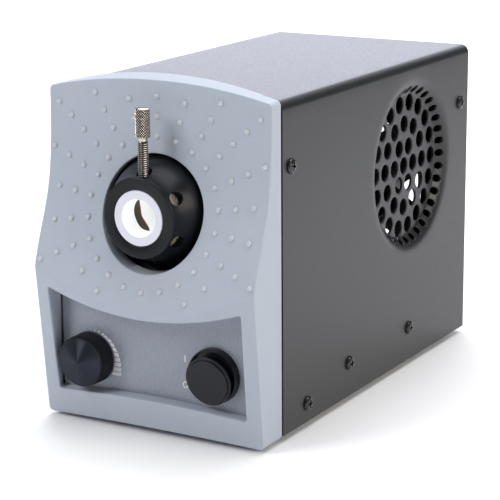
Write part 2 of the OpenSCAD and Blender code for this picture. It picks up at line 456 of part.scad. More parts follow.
// ---------- fan ----------
module fan_frame() at_case() color([0.07, 0.07, 0.075]) {
  y0 = rear_y - 16.5; y1 = rear_y - 1.5;
  difference() {
    box(-40, 40, y0, y1, fan_z - 40, fan_z + 40);
    cyl_y(0, fan_z, y0 - 1, y1 + 1, 38, $fn = 96);
    for (sx = [-1, 1]) for (sz = [-1, 1]) cyl_y(sx*35.75, fan_z + sz*35.75, y0 - 1, y1 + 1, 2.1, $fn = 24);
  }
  difference() {
    union() {
      cyl_y(0, fan_z, y0, y0 + 2.6, 18);
      for (a = [60, 180, 300]) translate([0, y0, fan_z]) rotate([0, a, 0]) translate([-1.5, 0, 16]) cube([3, 2.2, 22.6]);
    }
    cyl_y(0, fan_z, y0 - 1, y0 + 5, 1.56, $fn = 32);
  }
}
module fan_rotor() at_case() color([0.1, 0.1, 0.11]) {
  y0 = rear_y - 13.4; y1 = rear_y - 2.2;
  cyl_y(0, fan_z, y0, y1, 21.5);
  cyl_y(0, fan_z, rear_y - 16.2, y0 + 1, 1.5, $fn = 32);
  intersection() {
    difference() { cyl_y(0, fan_z, y0, y1, 37.2, $fn = 96); cyl_y(0, fan_z, y0 - 1, y1 + 1, 18, $fn = 64); }
    for (i = [0:fan_blades - 1]) translate([0, (y0 + y1)/2, fan_z]) rotate([0, fan_rest + i*360/fan_blades, 0]) translate([0, 0, 28]) rotate([0, 0, -64]) cube([1.6, 30, 24], center = true);
  }
}
module finger_guard() at_case() color([0.8, 0.8, 0.82]) {
  for (r = [10, 19, 28, 36.5]) translate([0, rear_y + 3.4, fan_z]) rotate([90, 0, 0]) rotate_extrude($fn = 96) translate([r, 0]) circle(r = 0.8, $fn = 20);
  for (a = [45, 135]) translate([0, rear_y + 2, fan_z]) rotate([0, a, 0]) {
    for (s = [-1, 1]) translate([0, 0, s > 0 ? 9 : -46.9]) cylinder(h = 37.9, r = 0.8, $fn = 20);
  }
  for (sx = [-1, 1]) for (sz = [-1, 1]) difference() {
    cyl_y(sx*35.75, fan_z + sz*35.75, rear_y, rear_y + 1.6, 4.2, $fn = 32);
    cyl_y(sx*35.75, fan_z + sz*35.75, rear_y - 1, rear_y + 3, 2.3, $fn = 24);
  }
}
module fan_screws() at_case() color([0.75, 0.75, 0.76]) for (sx = [-1, 1]) for (sz = [-1, 1])
  screw_y(sx*35.75, fan_z + sz*35.75, rear_y + 1.6, 3.4, 1.9, 2, 18, 1);

// ---------- mains inlet ----------
module inlet_mouth(g) polygon([[-36 + g, 9.2 + g], [-12 - g, 9.2 + g], [-12 - g, 20 - g], [-16.5 - g, 24.8 - g], [-31.5 + g, 24.8 - g], [-36 + g, 20 - g]]);
module power_inlet() at_case() color([0.05, 0.05, 0.055]) difference() {
  union() {
    box(-41, 19, rear_y, rear_y + 2, 3.4, 30.2);
    box(-38, 16, 165, rear_y + 1, 6, 28);
  }
  ext_y(rear_y - 14, rear_y + 3) inlet_mouth(0);
  box(-5.2, 13.2, 167.5, rear_y + 3, 7.8, 26.2);
  pins(0.05);
}
module pins(g) {
  for (s = [-1, 1]) box(-24 + s*7 - 1 - g, -24 + s*7 + 1 + g, 159, rear_y - 3.8, 13 - g, 17 + g);
  box(-25 - g, -23 + g, 159, rear_y - 3.8, 18 - g, 22 + g);
}
module inlet_pins() at_case() color([0.78, 0.76, 0.7]) pins(0);
module fuse_drawer() at_case() color([0.06, 0.06, 0.065]) difference() {
  union() {
    box(-5, 13, 168, rear_y + 2, 8, 26);
    box(-5, 13, rear_y + 1.9, rear_y + 3, 8, 26);
  }
  box(1.2, 6.8, 169.4, 190.6, 12, 30);
  box(-1, 9, rear_y + 1.4, rear_y + 4, 22.4, 24.6);
}
module fuse() at_case() color([0.85, 0.86, 0.88]) cyl_y(4, 14.5, 170, 190, 2.5, $fn = 40);

// ---------- wires ----------
module lamp_leads() at_case() color([0.85, 0.85, 0.8]) for (s = [-1, 1])
  wire([[s*4, 82.1, axis_z], [s*4, 89, axis_z], [s*4.2, 93, axis_z - 0.8], [s*4.8, 97, axis_z - 3.6], [s*5.4, 101, axis_z - 9], [s*5.8, 112, 70], [s*6, 115.5, 63], [s*6, 117.4, 58], [s*6, 118, 53], [s*6, 118, 46.8]], 1.2);
module mains_leads() at_case() color([0.15, 0.15, 0.16]) for (i = [0:1])
  wire([[-31 + i*14, 158.9, 15], [-31 + i*14, 152 - i*6, 15], [-33 + i*10, 146 - i*6, 13.5], [-41 + i*4, 138 - i*6, 8.5], [-45.4 + i*3.2, 130 - i*4, 6.2], [-46 + i*3.4, 120, 5.6], [-46 + i*3.4, 84, 5.6], [-44 + i*4, 76, 5.6], [-34 + i*5, 66, 6], [-31 + i*5, 60, 6.2], [-30 + i*5, 56, 6.6], [-30 + i*5, 54.4, 7.4], [-30 + i*5, 54, 8], [-30 + i*5, 54, 8.9]], 1.1);

base_pan();
front_plate();
chassis_rivets();
rear_panel();
rear_screws();
cover();
cover_screws();
rubber_feet();
feet_screws();
front_bezel();
bezel_screws();
control_panel();
panel_standoffs();
panel_screws();
nose_ring();
port_sleeve();
nose_set_screws();
nose_screws();
thumbscrew();
clamp_tip();
dial_knob();
knob_grub_screw();
pot_shaft();
potentiometer();
pot_nut();
switch_body();
switch_nut();
switch_terminals();
switch_rocker();
switch_boot();
lamp_reflector();
lamp_capsule();
lamp_base();
lamp_socket();
lamp_bracket();
lamp_clips();
bracket_screws();
filter_holder();
heat_filter();
filter_screws();
transformer_core();
transformer_coil();
transformer_plate();
transformer_screws();
circuit_board();
board_components();
heat_sink();
board_standoffs();
board_screws();
fan_frame();
fan_rotor();
finger_guard();
fan_screws();
power_inlet();
inlet_pins();
fuse_drawer();
fuse();
lamp_leads();
mains_leads();
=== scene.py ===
# Looks of the light-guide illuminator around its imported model. Lengths in the drawing helpers are
# millimetres in the case's own frame: x = 0 middle, y = 0 back of the moulded front, z = 0 case floor.
import bpy, bmesh, math
import numpy as np
from mathutils import Matrix, Vector
from mathutils.geometry import delaunay_2d_cdt
from mathutils.kdtree import KDTree


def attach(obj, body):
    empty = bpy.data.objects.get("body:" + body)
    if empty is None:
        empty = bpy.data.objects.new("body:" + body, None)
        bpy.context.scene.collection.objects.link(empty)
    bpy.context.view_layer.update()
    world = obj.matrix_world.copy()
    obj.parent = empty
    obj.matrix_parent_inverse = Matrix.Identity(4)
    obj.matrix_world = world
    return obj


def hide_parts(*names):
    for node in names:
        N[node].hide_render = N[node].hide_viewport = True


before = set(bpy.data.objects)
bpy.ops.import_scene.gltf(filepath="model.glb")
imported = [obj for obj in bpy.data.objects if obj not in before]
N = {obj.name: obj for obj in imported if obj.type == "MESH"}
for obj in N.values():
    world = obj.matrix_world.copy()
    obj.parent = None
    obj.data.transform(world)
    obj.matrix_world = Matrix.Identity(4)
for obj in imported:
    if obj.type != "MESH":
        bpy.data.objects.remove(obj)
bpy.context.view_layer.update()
MM = 0.001
pi, sin, cos, tau = math.pi, math.sin, math.cos, 2*math.pi


# ------------------------------------------------------------------ mesh helpers
def row(v):
    return (v[0]*MM, (v[1] - 84.2)*MM, (v[2] + 3.0)*MM)


def piece(name, verts, faces, mat, body="housing", sharp=32, replaces=(), tidy=True):
    me = bpy.data.meshes.new(name)
    me.from_pydata([row(v) for v in verts], [], faces)
    bm = bmesh.new()
    bm.from_mesh(me)
    if tidy:
        bmesh.ops.remove_doubles(bm, verts=bm.verts, dist=1.5e-6)
        bmesh.ops.dissolve_degenerate(bm, edges=bm.edges, dist=5e-7)
    bmesh.ops.recalc_face_normals(bm, faces=bm.faces)
    for f in bm.faces:
        f.smooth = True
    bm.to_mesh(me)
    bm.free()
    me.set_sharp_from_angle(angle=math.radians(sharp))
    ob = bpy.data.objects.new(name, me)
    bpy.context.scene.collection.objects.link(ob)
    mats = mat if isinstance(mat, (list, tuple)) else [mat]
    for m in mats:
        me.materials.append(m)
    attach(ob, body)
    if replaces:
        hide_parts(*replaces)
    return ob


def lathe(profile, n, origin, axis, closed=True, ref=(0.123, 0.2, 0.97), wobble=None):
    """profile is [(radius, distance along axis)]; a closed profile makes a solid of revolution."""
    a = Vector(axis).normalized()
    u = a.cross(Vector(ref)).normalized()
    w = a.cross(u)
    o = Vector(origin)
    m = len(profile)
    verts, faces = [], []
    for k in range(n):
        t = tau*k/n
        d = u*cos(t) + w*sin(t)
        for j, (r, h) in enumerate(profile):
            rr = wobble(r, h, t, j) if wobble else r
            verts.append(tuple(o + d*rr + a*h))
    for k in range(n):
        k2 = (k + 1) % n
        for j in range(m if closed else m - 1):
            j2 = (j + 1) % m
            faces.append((k*m + j, k*m + j2, k2*m + j2, k2*m + j))
    return verts, faces


def rounded(points, radius, seg=4):
    """A closed (r, h) outline with its corners rounded; radius is one number or one for each point."""
    out = []
    n = len(points)
    for i, p in enumerate(points):
        rad = radius[i] if isinstance(radius, (list, tuple)) else radius
        p = Vector(p)
        a, b = Vector(points[i - 1]) - p, Vector(points[(i + 1) % n]) - p
        la, lb = a.length, b.length
        if rad <= 0 or la < 1e-9 or lb < 1e-9 or p.x <= 1e-9:
            out.append(tuple(p))
            continue
        a, b = a/la, b/lb
        ang = math.acos(max(-1, min(1, a.dot(b))))
        if ang > pi - 0.05:
            out.append(tuple(p))
            continue
        t = min(rad/math.tan(ang/2), la*0.48, lb*0.48)
        r = t*math.tan(ang/2)
        c = p + (a + b).normalized()*(r/math.sin(ang/2))
        s, e = p + a*t - c, p + b*t - c
        tot = math.acos(max(-1, min(1, s.normalized().dot(e.normalized()))))
        sign = 1 if s.x*e.y - s.y*e.x > 0 else -1
        for k in range(seg + 1):
            q = sign*tot*k/seg
            out.append((c.x + s.x*cos(q) - s.y*sin(q), c.y + s.x*sin(q) + s.y*cos(q)))
    return out


def smooth_line(points, n):
    """Monotone cubic through points (x rising), sampled at n places."""
    x = np.array([p[0] for p in points], float)
    y = np.array([p[1] for p in points], float)
    return [(float(q), float(v)) for q, v in zip(np.linspace(x[0], x[-1], n), pchip(x, y, np.linspace(x[0], x[-1], n)))]


def pchip(x, y, q):
    h = np.diff(x)
    d = np.diff(y)/h
    m = np.zeros_like(y)
    for i in range(1, len(x) - 1):
        if d[i - 1]*d[i] > 0:
            w1, w2 = 2*h[i] + h[i - 1], h[i] + 2*h[i - 1]
            m[i] = (w1 + w2)/(w1/d[i - 1] + w2/d[i])
    m[0], m[-1] = d[0], d[-1]
    i = np.clip(np.searchsorted(x, q) - 1, 0, len(h) - 1)
    t = (q - x[i])/h[i]
    return ((2*t**3 - 3*t**2 + 1)*y[i] + (t**3 - 2*t**2 + t)*h[i]*m[i]
            + (-2*t**3 + 3*t**2)*y[i + 1] + (t**3 - t**2)*h[i]*m[i + 1])


def inside(poly, pts):
    poly, pts = np.asarray(poly, float), np.asarray(pts, float)
    res = np.zeros(len(pts), bool)
    x, y = pts[:, 0], pts[:, 1]
    for (x1, y1), (x2, y2) in zip(poly, np.roll(poly, -1, 0)):
        if y1 == y2:
            continue
        hit = ((y1 > y) != (y2 > y)) & (x < (x2 - x1)*(y - y1)/(y2 - y1) + x1)
        res ^= hit
    return res


def patch(outer, holes, rings=(), lines=(), fill=(), gap=0.6):
    """Triangles of the plane region inside outer and outside holes, with rings, lines and fill as inner points."""
    pts, edges = [], []
    def add(loop, closed=True):
        s = len(pts)
        pts.extend((float(p[0]), float(p[1])) for p in loop)
        n = len(loop)
        edges.extend((s + i, s + (i + 1) % n) for i in range(n if closed else n - 1))
    add(outer)
    for h in holes:
        add(h)
    for r in rings:
        add(r)
    for l in lines:
        add(l, False)
    if len(fill):
        tree = KDTree(len(pts))
        for i, p in enumerate(pts):
            tree.insert((p[0], p[1], 0), i)
        tree.balance()
        fill = np.asarray(fill, float)
        keep = inside(outer, fill)
        for h in holes:
            keep &= ~inside(h, fill)
        for p in fill[keep]:
            if tree.find((p[0], p[1], 0))[2] > gap:
                pts.append((float(p[0]), float(p[1])))
    res = delaunay_2d_cdt([Vector(p) for p in pts], edges, [], 0, 1e-6)
    co = np.array([tuple(v) for v in res[0]], float)
    tri = [f for f in res[2] if len(f) == 3]
    mid = co[np.array(tri)].mean(1)
    keep = inside(outer, mid)
    for h in holes:
        keep &= ~inside(h, mid)
    return co, [t for t, k in zip(tri, keep) if k]


class Build:
    """Gathers patches and walls into one mesh; equal points are merged when the piece is made."""
    def __init__(self):
        self.v, self.f = [], []

    def add(self, verts, faces):
        s = len(self.v)
        self.v.extend(verts)
        self.f.extend(tuple(i + s for i in f) for f in faces)

    def walls(self, loops, closed=True):
        n, s = len(loops[0]), len(self.v)
        for l in loops:
            self.v.extend(l)
        for k in range(len(loops) - 1):
            for i in range(n if closed else n - 1):
                j = (i + 1) % n
                self.f.append((s + k*n + i, s + k*n + j, s + (k + 1)*n + j, s + (k + 1)*n + i))


def boolean(ob, cutters, op="DIFFERENCE"):
    for c in cutters:
        m = ob.modifiers.new("cut", "BOOLEAN")
        m.operation, m.object, m.solver = op, c, "EXACT"
    dg = bpy.context.evaluated_depsgraph_get()
    dg.update()
    me = bpy.data.meshes.new_from_object(ob.evaluated_get(dg))
    ob.modifiers.clear()
    old = ob.data
    ob.data = me
    bpy.data.meshes.remove(old)
    for c in cutters:
        bpy.data.objects.remove(c)


def cutter(verts, faces):
    me = bpy.data.meshes.new("cutter")
    me.from_pydata([row(v) for v in verts], [], faces)
    bm = bmesh.new(); bm.from_mesh(me)
    bmesh.ops.remove_doubles(bm, verts=bm.verts, dist=1e-6)
    bmesh.ops.recalc_face_normals(bm, faces=bm.faces)
    bm.to_mesh(me); bm.free()
    ob = bpy.data.objects.new("cutter", me)
    bpy.context.scene.collection.objects.link(ob)
    return ob


def box_mesh(x0, x1, y0, y1, z0, z1):
    v = [(x, y, z) for x in (x0, x1) for y in (y0, y1) for z in (z0, z1)]
    return v, [(0, 1, 3, 2), (4, 6, 7, 5), (0, 4, 5, 1), (2, 3, 7, 6), (0, 2, 6, 4), (1, 5, 7, 3)]


# ------------------------------------------------------------------ materials
def mat(name, color, rough=0.5, metal=0.0, var=0.08, vscale=250.0, rvar=0.08, bump=0.0, bscale=2000.0, bdist=0.05,
        stretch=(1, 1, 1), spec=0.5, coat=0.0, coat_rough=0.2, aniso=0.0, ior=1.5, tint=None, detail=4.0,
        emission=None, strength=0.0, alpha=None, transmission=0.0, grain=None):
    m = bpy.data.materials.new(name)
    m.use_nodes = True
    nt = m.node_tree
    nt.nodes.clear()
    L = nt.links.new
    out = nt.nodes.new("ShaderNodeOutputMaterial")
    b = nt.nodes.new("ShaderNodeBsdfPrincipled")
    L(b.outputs[0], out.inputs[0])
    co = nt.nodes.new("ShaderNodeTexCoord")
    mp = nt.nodes.new("ShaderNodeMapping")
    mp.inputs["Scale"].default_value = stretch
    L(co.outputs["Object"], mp.inputs["Vector"])
    no = nt.nodes.new("ShaderNodeTexNoise")
    no.inputs["Scale"].default_value = vscale
    no.inputs["Detail"].default_value = detail
    L(mp.outputs[0], no.inputs["Vector"])
    mix = nt.nodes.new("ShaderNodeMix")
    mix.data_type = "RGBA"
    lo = [c*(1 - var) for c in color[:3]] + [1]
    hi = [min(1, c*(1 + var)) for c in (tint or color)[:3]] + [1]
    mix.inputs[6].default_value, mix.inputs[7].default_value = lo, hi
    L(no.outputs["Fac"], mix.inputs[0])
    L(mix.outputs[2], b.inputs["Base Color"])
    mr = nt.nodes.new("ShaderNodeMapRange")
    mr.inputs["From Min"].default_value, mr.inputs["From Max"].default_value = 0.3, 0.7
    mr.inputs["To Min"].default_value, mr.inputs["To Max"].default_value = max(0.02, rough - rvar), min(1, rough + rvar)
    L(no.outputs["Fac"], mr.inputs["Value"])
    L(mr.outputs[0], b.inputs["Roughness"])
    b.inputs["Metallic"].default_value = metal
    b.inputs["Specular IOR Level"].default_value = spec
    b.inputs["IOR"].default_value = ior
    b.inputs["Coat Weight"].default_value = coat
    b.inputs["Coat Roughness"].default_value = coat_rough
    b.inputs["Anisotropic"].default_value = aniso
    b.inputs["Transmission Weight"].default_value = transmission
    if alpha is not None:
        b.inputs["Alpha"].default_value = alpha
    if emission:
        b.inputs["Emission Color"].default_value = list(emission) + [1]
        b.inputs["Emission Strength"].default_value = strength
    if bump > 0:
        n2 = nt.nodes.new("ShaderNodeTexNoise")
        n2.inputs["Scale"].default_value = bscale
        n2.inputs["Detail"].default_value = 3.0
        L((mp if grain is None else co).outputs[0 if grain is None else "Object"], n2.inputs["Vector"])
        bp = nt.nodes.new("ShaderNodeBump")
        bp.inputs["Strength"].default_value = bump
        bp.inputs["Distance"].default_value = bdist*MM
        L(n2.outputs["Fac"], bp.inputs["Height"])
        L(bp.outputs[0], b.inputs["Normal"])
    m["bsdf"] = b.name
    return m


M = {}
M["coat"] = mat("black_powder_coat", (0.013, 0.0135, 0.015), 0.34, spec=0.5, var=0.2, vscale=900, rvar=0.04, bump=0.13, bscale=1250, bdist=0.05)
M["bezel"] = mat("bezel_plastic", (0.405, 0.447, 0.512), 0.55, var=0.03, vscale=420, rvar=0.06, bump=0.2, bscale=2600, bdist=0.03, spec=0.22)
M["panel"] = mat("panel_metal", (0.268, 0.293, 0.34), 0.42, metal=0.3, var=0.26, vscale=1100, rvar=0.1, bump=0.35, bscale=1800, bdist=0.03, stretch=(1, 1, 0.45), spec=0.4)
M["anod"] = mat("black_anodised", (0.0045, 0.005, 0.0078), 0.32, var=0.2, vscale=700, rvar=0.04, bump=0.08, bscale=2500, bdist=0.02, spec=0.25)
# near-black material painted as the shade inside the cross holes of the nose
M["pit"] = mat("hole_wall_painted_shade", (0.002, 0.002, 0.0025), 0.6, var=0.2, vscale=700, rvar=0.05, spec=0.08)
M["sleeve"] = mat("pale_sleeve", (0.70, 0.715, 0.79), 0.4, var=0.02, vscale=500, rvar=0.05, spec=0.35)
M["shade1"] = mat("bore_shade_dark", (0.062, 0.058, 0.038), 0.5, var=0.3, vscale=900, spec=0.2)
M["shade2"] = mat("bore_shade_brown", (0.075, 0.045, 0.022), 0.5, var=0.3, vscale=900, spec=0.2)
# painted warm light along the inner edge of the painted bore shade
M["shade3"] = mat("bore_shade_painted_warm_light", (0.46, 0.15, 0.065), 0.5, var=0.2, vscale=900, spec=0.2)
M["nickel"] = mat("nickel_plate", (0.54, 0.50, 0.44), 0.2, metal=1.0, var=0.08, vscale=600, rvar=0.06, bump=0.08, bscale=2500, bdist=0.02)
# a lighter copy of the nickel for the thread crests: painted light on the shank
M["shank"] = mat("nickel_thread_painted_lighter", (0.66, 0.61, 0.53), 0.18, metal=1.0, var=0.08, vscale=600, rvar=0.05, bump=0.08, bscale=2500, bdist=0.02)
M["setscrew"] = mat("set_screw_steel", (0.74, 0.69, 0.63), 0.30, metal=0.85, var=0.15, vscale=600, rvar=0.08, bump=0.08, bscale=2500, bdist=0.02)
# near-black material painted as the shade in thread roots and knurl valleys
M["groove"] = mat("nickel_groove", (0.024, 0.022, 0.018), 0.45, metal=0.6, var=0.15, vscale=700, rvar=0.08)
# lighter copy of the bezel plastic: painted highlight on the dot tops
M["dot"] = mat("bezel_dot_painted_highlight", (0.50, 0.525, 0.555), 0.5, var=0.03, vscale=420, rvar=0.06, bump=0.15, bscale=2600, bdist=0.03, spec=0.3)
M["steel"] = mat("zinc_screw", (0.60, 0.60, 0.61), 0.32, metal=1.0, var=0.1, vscale=500, rvar=0.1, bump=0.1, bscale=2200, bdist=0.02)
M["darkscrew"] = mat("black_screw", (0.016, 0.015, 0.015), 0.2, metal=0.15, var=0.25, vscale=900, rvar=0.06, bump=0.1, bscale=2500, bdist=0.02, spec=0.6)
M["galv"] = mat("galvanised_sheet", (0.30, 0.31, 0.33), 0.42, metal=0.85, var=0.16, vscale=130, rvar=0.12, detail=2, bump=0.1, bscale=900, bdist=0.02)
M["rubber"] = mat("black_rubber", (0.0075, 0.0085, 0.013), 0.36, var=0.15, vscale=700, rvar=0.04, bump=0.06, bscale=2200, bdist=0.02, spec=0.3)
M["plastic"] = mat("black_plastic", (0.0075, 0.0085, 0.013), 0.30, var=0.15, vscale=600, rvar=0.03, bump=0.03, bscale=2000, bdist=0.02, spec=0.35)
M["knob"] = mat("knob_side", (0.006, 0.0068, 0.0105), 0.40, var=0.15, vscale=600, rvar=0.05, bump=0.08, bscale=2000, bdist=0.02, spec=0.22)
M["nylon"] = mat("white_nylon", (0.78, 0.77, 0.72), 0.45, var=0.03, vscale=400, bump=0.1, bscale=1500, bdist=0.02)
M["brass"] = mat("brass", (0.72, 0.55, 0.27), 0.3, metal=1.0, var=0.1, vscale=500, rvar=0.1)
M["reflector"] = mat("reflector_glass", (0.75, 0.78, 0.84), 0.12, var=0.06, vscale=200, rvar=0.05, metal=0.6)
M["lampglass"] = mat("lamp_glass", (0.95, 0.93, 0.86), 0.06, var=0.02, vscale=200, rvar=0.03, emission=(1.0, 0.86, 0.62), strength=3.0)
M["filter"] = mat("filter_glass", (0.80, 0.90, 0.88), 0.05, var=0.02, vscale=200, rvar=0.02, transmission=0.85, ior=1.52)
M["ceramic"] = mat("lamp_ceramic", (0.80, 0.77, 0.69), 0.55, var=0.05, vscale=300, bump=0.2, bscale=900, bdist=0.04)
M["core"] = mat("core_steel", (0.13, 0.13, 0.14), 0.5, metal=0.6, var=0.3, vscale=1800, rvar=0.1, stretch=(0.05, 1, 0.05), bump=0.4, bscale=2600, bdist=0.06)
M["coil"] = mat("coil_tape", (0.50, 0.30, 0.12), 0.38, var=0.18, vscale=1300, rvar=0.1, stretch=(1, 0.05, 1), bump=0.4, bscale=1300, bdist=0.1, coat=0.4)
M["board"] = mat("solder_mask", (0.018, 0.12, 0.055), 0.3, var=0.25, vscale=350, rvar=0.08, bump=0.15, bscale=900, bdist=0.03, coat=0.3)
M["black_part"] = mat("moulded_part", (0.035, 0.036, 0.045), 0.42, var=0.18, vscale=500, rvar=0.1, bump=0.2, bscale=1500, bdist=0.03)
M["alu"] = mat("extruded_alu", (0.60, 0.61, 0.63), 0.33, metal=1.0, var=0.1, vscale=900, rvar=0.1, stretch=(1, 1, 0.05), bump=0.2, bscale=1800, bdist=0.03)
M["fuse"] = mat("fuse_glass", (0.86, 0.88, 0.90), 0.08, var=0.04, vscale=300, rvar=0.03, transmission=0.6, ior=1.5)
M["wire_w"] = mat("wire_white", (0.70, 0.69, 0.64), 0.5, var=0.08, vscale=500, rvar=0.08, bump=0.2, bscale=1500, bdist=0.03)
M["wire_b"] = mat("wire_black", (0.04, 0.04, 0.042), 0.45, var=0.15, vscale=500, rvar=0.08, bump=0.2, bscale=1500, bdist=0.03)
M["print"] = mat("white_print", (0.66, 0.675, 0.70), 0.5, var=0.03, vscale=900, rvar=0.05, bump=0.1, bscale=2600, bdist=0.01, spec=0.3)
M["floor"] = mat("studio_floor", (0.90, 0.90, 0.905), 0.7, var=0.01, vscale=6, rvar=0.03, spec=0.2)

NODE_MAT = {
    "cover": "coat", "rear_panel": "coat", "cover_screws": "darkscrew", "rear_screws": "darkscrew", "base_pan": "galv", "front_plate": "galv",
    "base_chassis": "galv", "chassis_rivets": "steel", "rubber_feet": "rubber", "feet_screws": "steel", "front_bezel": "bezel", "bezel_screws": "steel",
    "control_panel": "panel", "panel_standoffs": "steel", "panel_screws": "steel", "nose_ring": "anod", "port_sleeve": "sleeve",
    "nose_set_screws": "setscrew", "nose_screws": "steel", "thumbscrew": "nickel", "clamp_tip": "nylon", "dial_knob": "knob", "knob_grub_screw": "darkscrew",
    "pot_shaft": "steel", "potentiometer": "black_part", "pot_nut": "steel", "switch_body": "plastic", "switch_nut": "plastic",
    "switch_terminals": "brass", "switch_rocker": "plastic", "switch_boot": "rubber", "lamp_reflector": "reflector", "lamp_capsule": "lampglass",
    "lamp_base": "ceramic", "lamp_socket": "ceramic", "lamp_bracket": "galv", "lamp_clips": "steel", "bracket_screws": "steel", "filter_holder": "galv",
    "heat_filter": "filter", "exit_glass": "filter", "filter_screws": "steel", "transformer_core": "core", "transformer_coil": "coil", "transformer_plate": "galv",
    "transformer_screws": "steel", "circuit_board": "board", "board_components": "black_part", "heat_sink": "alu", "board_standoffs": "brass",
    "board_screws": "steel", "fan_frame": "plastic", "fan_rotor": "black_part", "finger_guard": "nickel", "fan_screws": "darkscrew",
    "power_inlet": "plastic", "inlet_pins": "nickel", "fuse_drawer": "plastic", "fuse": "fuse", "lamp_leads": "wire_w", "mains_leads": "wire_b"}
def painted_bore_glow():
    """Painted glow: the bore wall of the sleeve gets emission in place of the lamp light inside; its front ring does
    not.
    """
    m = M["sleeve"]
    nt = m.node_tree
    co = nt.nodes.new("ShaderNodeTexCoord")
    sx = nt.nodes.new("ShaderNodeSeparateXYZ")
    nt.links.new(co.outputs["Object"], sx.inputs[0])
    def math_node(op, a, b=None):
        n = nt.nodes.new("ShaderNodeMath")
        n.operation = op
        for i, v in enumerate((a, b)):
            if v is None:
                continue
            if isinstance(v, (int, float)):
                n.inputs[i].default_value = v
            else:
                nt.links.new(v, n.inputs[i])
        return n.outputs[0]
    dz = math_node("SUBTRACT", sx.outputs["Z"], 0.0974)
    r = math_node("SQRT", math_node("ADD", math_node("MULTIPLY", sx.outputs["X"], sx.outputs["X"]), math_node("MULTIPLY", dz, dz)))
    wall = math_node("LESS_THAN", r, 0.0082)
    b = nt.nodes[m["bsdf"]]
    b.inputs["Emission Color"].default_value = (1.0, 0.99, 0.86, 1)
    # painted glow: emission only on the bore wall, in place of lamp light falling there
    nt.links.new(math_node("MULTIPLY", wall, 0.40), b.inputs["Emission Strength"])


painted_bore_glow()
for name, ob in N.items():
    m = M[NODE_MAT[name]]
    ob.data.materials.clear()
    ob.data.materials.append(m)

# ------------------------------------------------------------------ moulded front
axis_z = 94.4
sq = lambda v: v*v


def smooth(t):
    u = np.clip(t, 0, 1)
    return u*u*(3 - 2*u)


def p_up(x, z):
    return 7.8 + 3.35*np.log1p(np.exp((108 - z)/10)) + 2.1*(1 - smooth((z - 72)/32))*(x/55)**2


def p_low(x, z):
    return 16.3 + 0.107*z + (1 + 0.05*z)*(1 - (x/55)**2)


def p_front(x, z, k=0.22):
    a, b = p_up(x, z), p_low(x, z)
    m = np.minimum(a, b)
    return m - k*np.log(np.exp(-(a - m)/k) + np.exp(-(b - m)/k))


def z_crease(x):
    return 54.2 + 13.3*(x/55)**2


def z_top(x):
    return 152.1 - 7.9*(abs(x)/55)**2.1


def z_bot(x):
    return -0.2 - 1.1*(x/55)**2


def outline(front, corner=2.2):
    """The moulding's outline in (x, z), anticlockwise from the bottom left, with small round corners."""
    w, n = 55.0, 48
    top = (lambda x: z_top(x) - 1.7*(1 - (x/55)**2)) if front else z_top
    pts = []
    def arc(cx, cz, a0, a1, m=8):
        for k in range(m + 1):
            t = math.radians(a0 + (a1 - a0)*k/m)
            pts.append((cx + corner*cos(t), cz + corner*sin(t)))
    c = corner
    zb, zt = z_bot(w - c), top(w - c)
    for k in range(n + 1):
        x = -(w - c) + 2*(w - c)*k/n
        pts.append((x, z_bot(x)))
    arc(w - c, zb + c, -86, -4)
    for k in range(61):
        pts.append((w, zb + c + (zt - 2*c - zb)*k/60))
    arc(w - c, zt - c, 4, 78)
    for k in range(n + 1):
        x = (w - c) - 2*(w - c)*k/n
        pts.append((x, top(x)))
    arc(-(w - c), zt - c, 102, 176)
    for k in range(61):
        pts.append((-w, zt - c - (zt - 2*c - zb)*k/60))
    arc(-(w - c), zb + c, 184, 266)
    return np.array(pts)


def inset(loop, d):
    """An anticlockwise loop moved inwards by d."""
    loop = np.asarray(loop, float)
    if abs(d) < 1e-9:
        return loop.copy()
    t = np.roll(loop, -1, 0) - np.roll(loop, 1, 0)
    t /= np.linalg.norm(t, axis=1)[:, None]
    return loop + d*np.stack([-t[:, 1], t[:, 0]], 1)


def window(g, drop=0.0, side=0.0):
    """Control window, anticlockwise: arched bottom, straight sides, sagging top, corners rounded."""
    bl, tl = 47.6 + g, 48.4 + g
    bot = lambda t: 11.2 - g - drop + 2.0*(1 - t*t)
    top = lambda t: 58.5 + g - 8.3*(1 - t*t)
    c, pts = 1.4 + max(0, g)*0.6, []
    def corner(px, pz, d0, d1, m=6):
        p, a, b = Vector((px, pz)), Vector(d0).normalized(), Vector(d1).normalized()
        for k in range(m + 1):
            s = k/m
            q = p + a*c*(1 - s)**2 + b*c*s**2
            pts.append((q.x, q.y))
    n = 44
    sb, st = side*1.0, side*0.15
    bx, tx = bl + sb, tl + st
    for k in range(n + 1):
        x = -(bx - c) + 2*(bx - c)*k/n
        pts.append((x, bot(x/bx)))
    corner(bx, bot(1), (-1, 4*0.0835), (tx - bx, 46))
    for k in range(1, 24):
        s = k/24
        z0, z1 = bot(1) + c, top(1) - c
        z = z0 + (z1 - z0)*s
        pts.append((bx + (tx - bx)*(z - bot(1))/(top(1) - bot(1)), z))
    corner(tx, top(1), (-(tx - bx), -46), (-1, -0.343))
    for k in range(n + 1):
        x = (tx - c) - 2*(tx - c)*k/n
        pts.append((x, top(x/tx)))
    corner(-tx, top(1), (1, -0.343), (tx - bx, -46))
    for k in range(1, 24):
        s = k/24
        z1, z0 = top(1) - c, bot(1) + c
        z = z1 + (z0 - z1)*s
        pts.append((-(bx + (tx - bx)*(z - bot(1))/(top(1) - bot(1))), z))
    corner(-bx, bot(1), (-(tx - bx), 46), (1, 4*0.0835))
    return np.array(pts)


def circle(cx, cz, r, n, t0=0.0):
    t = np.arange(n)*tau/n + t0
    return np.stack([cx + r*np.cos(t), cz + r*np.sin(t)], 1)


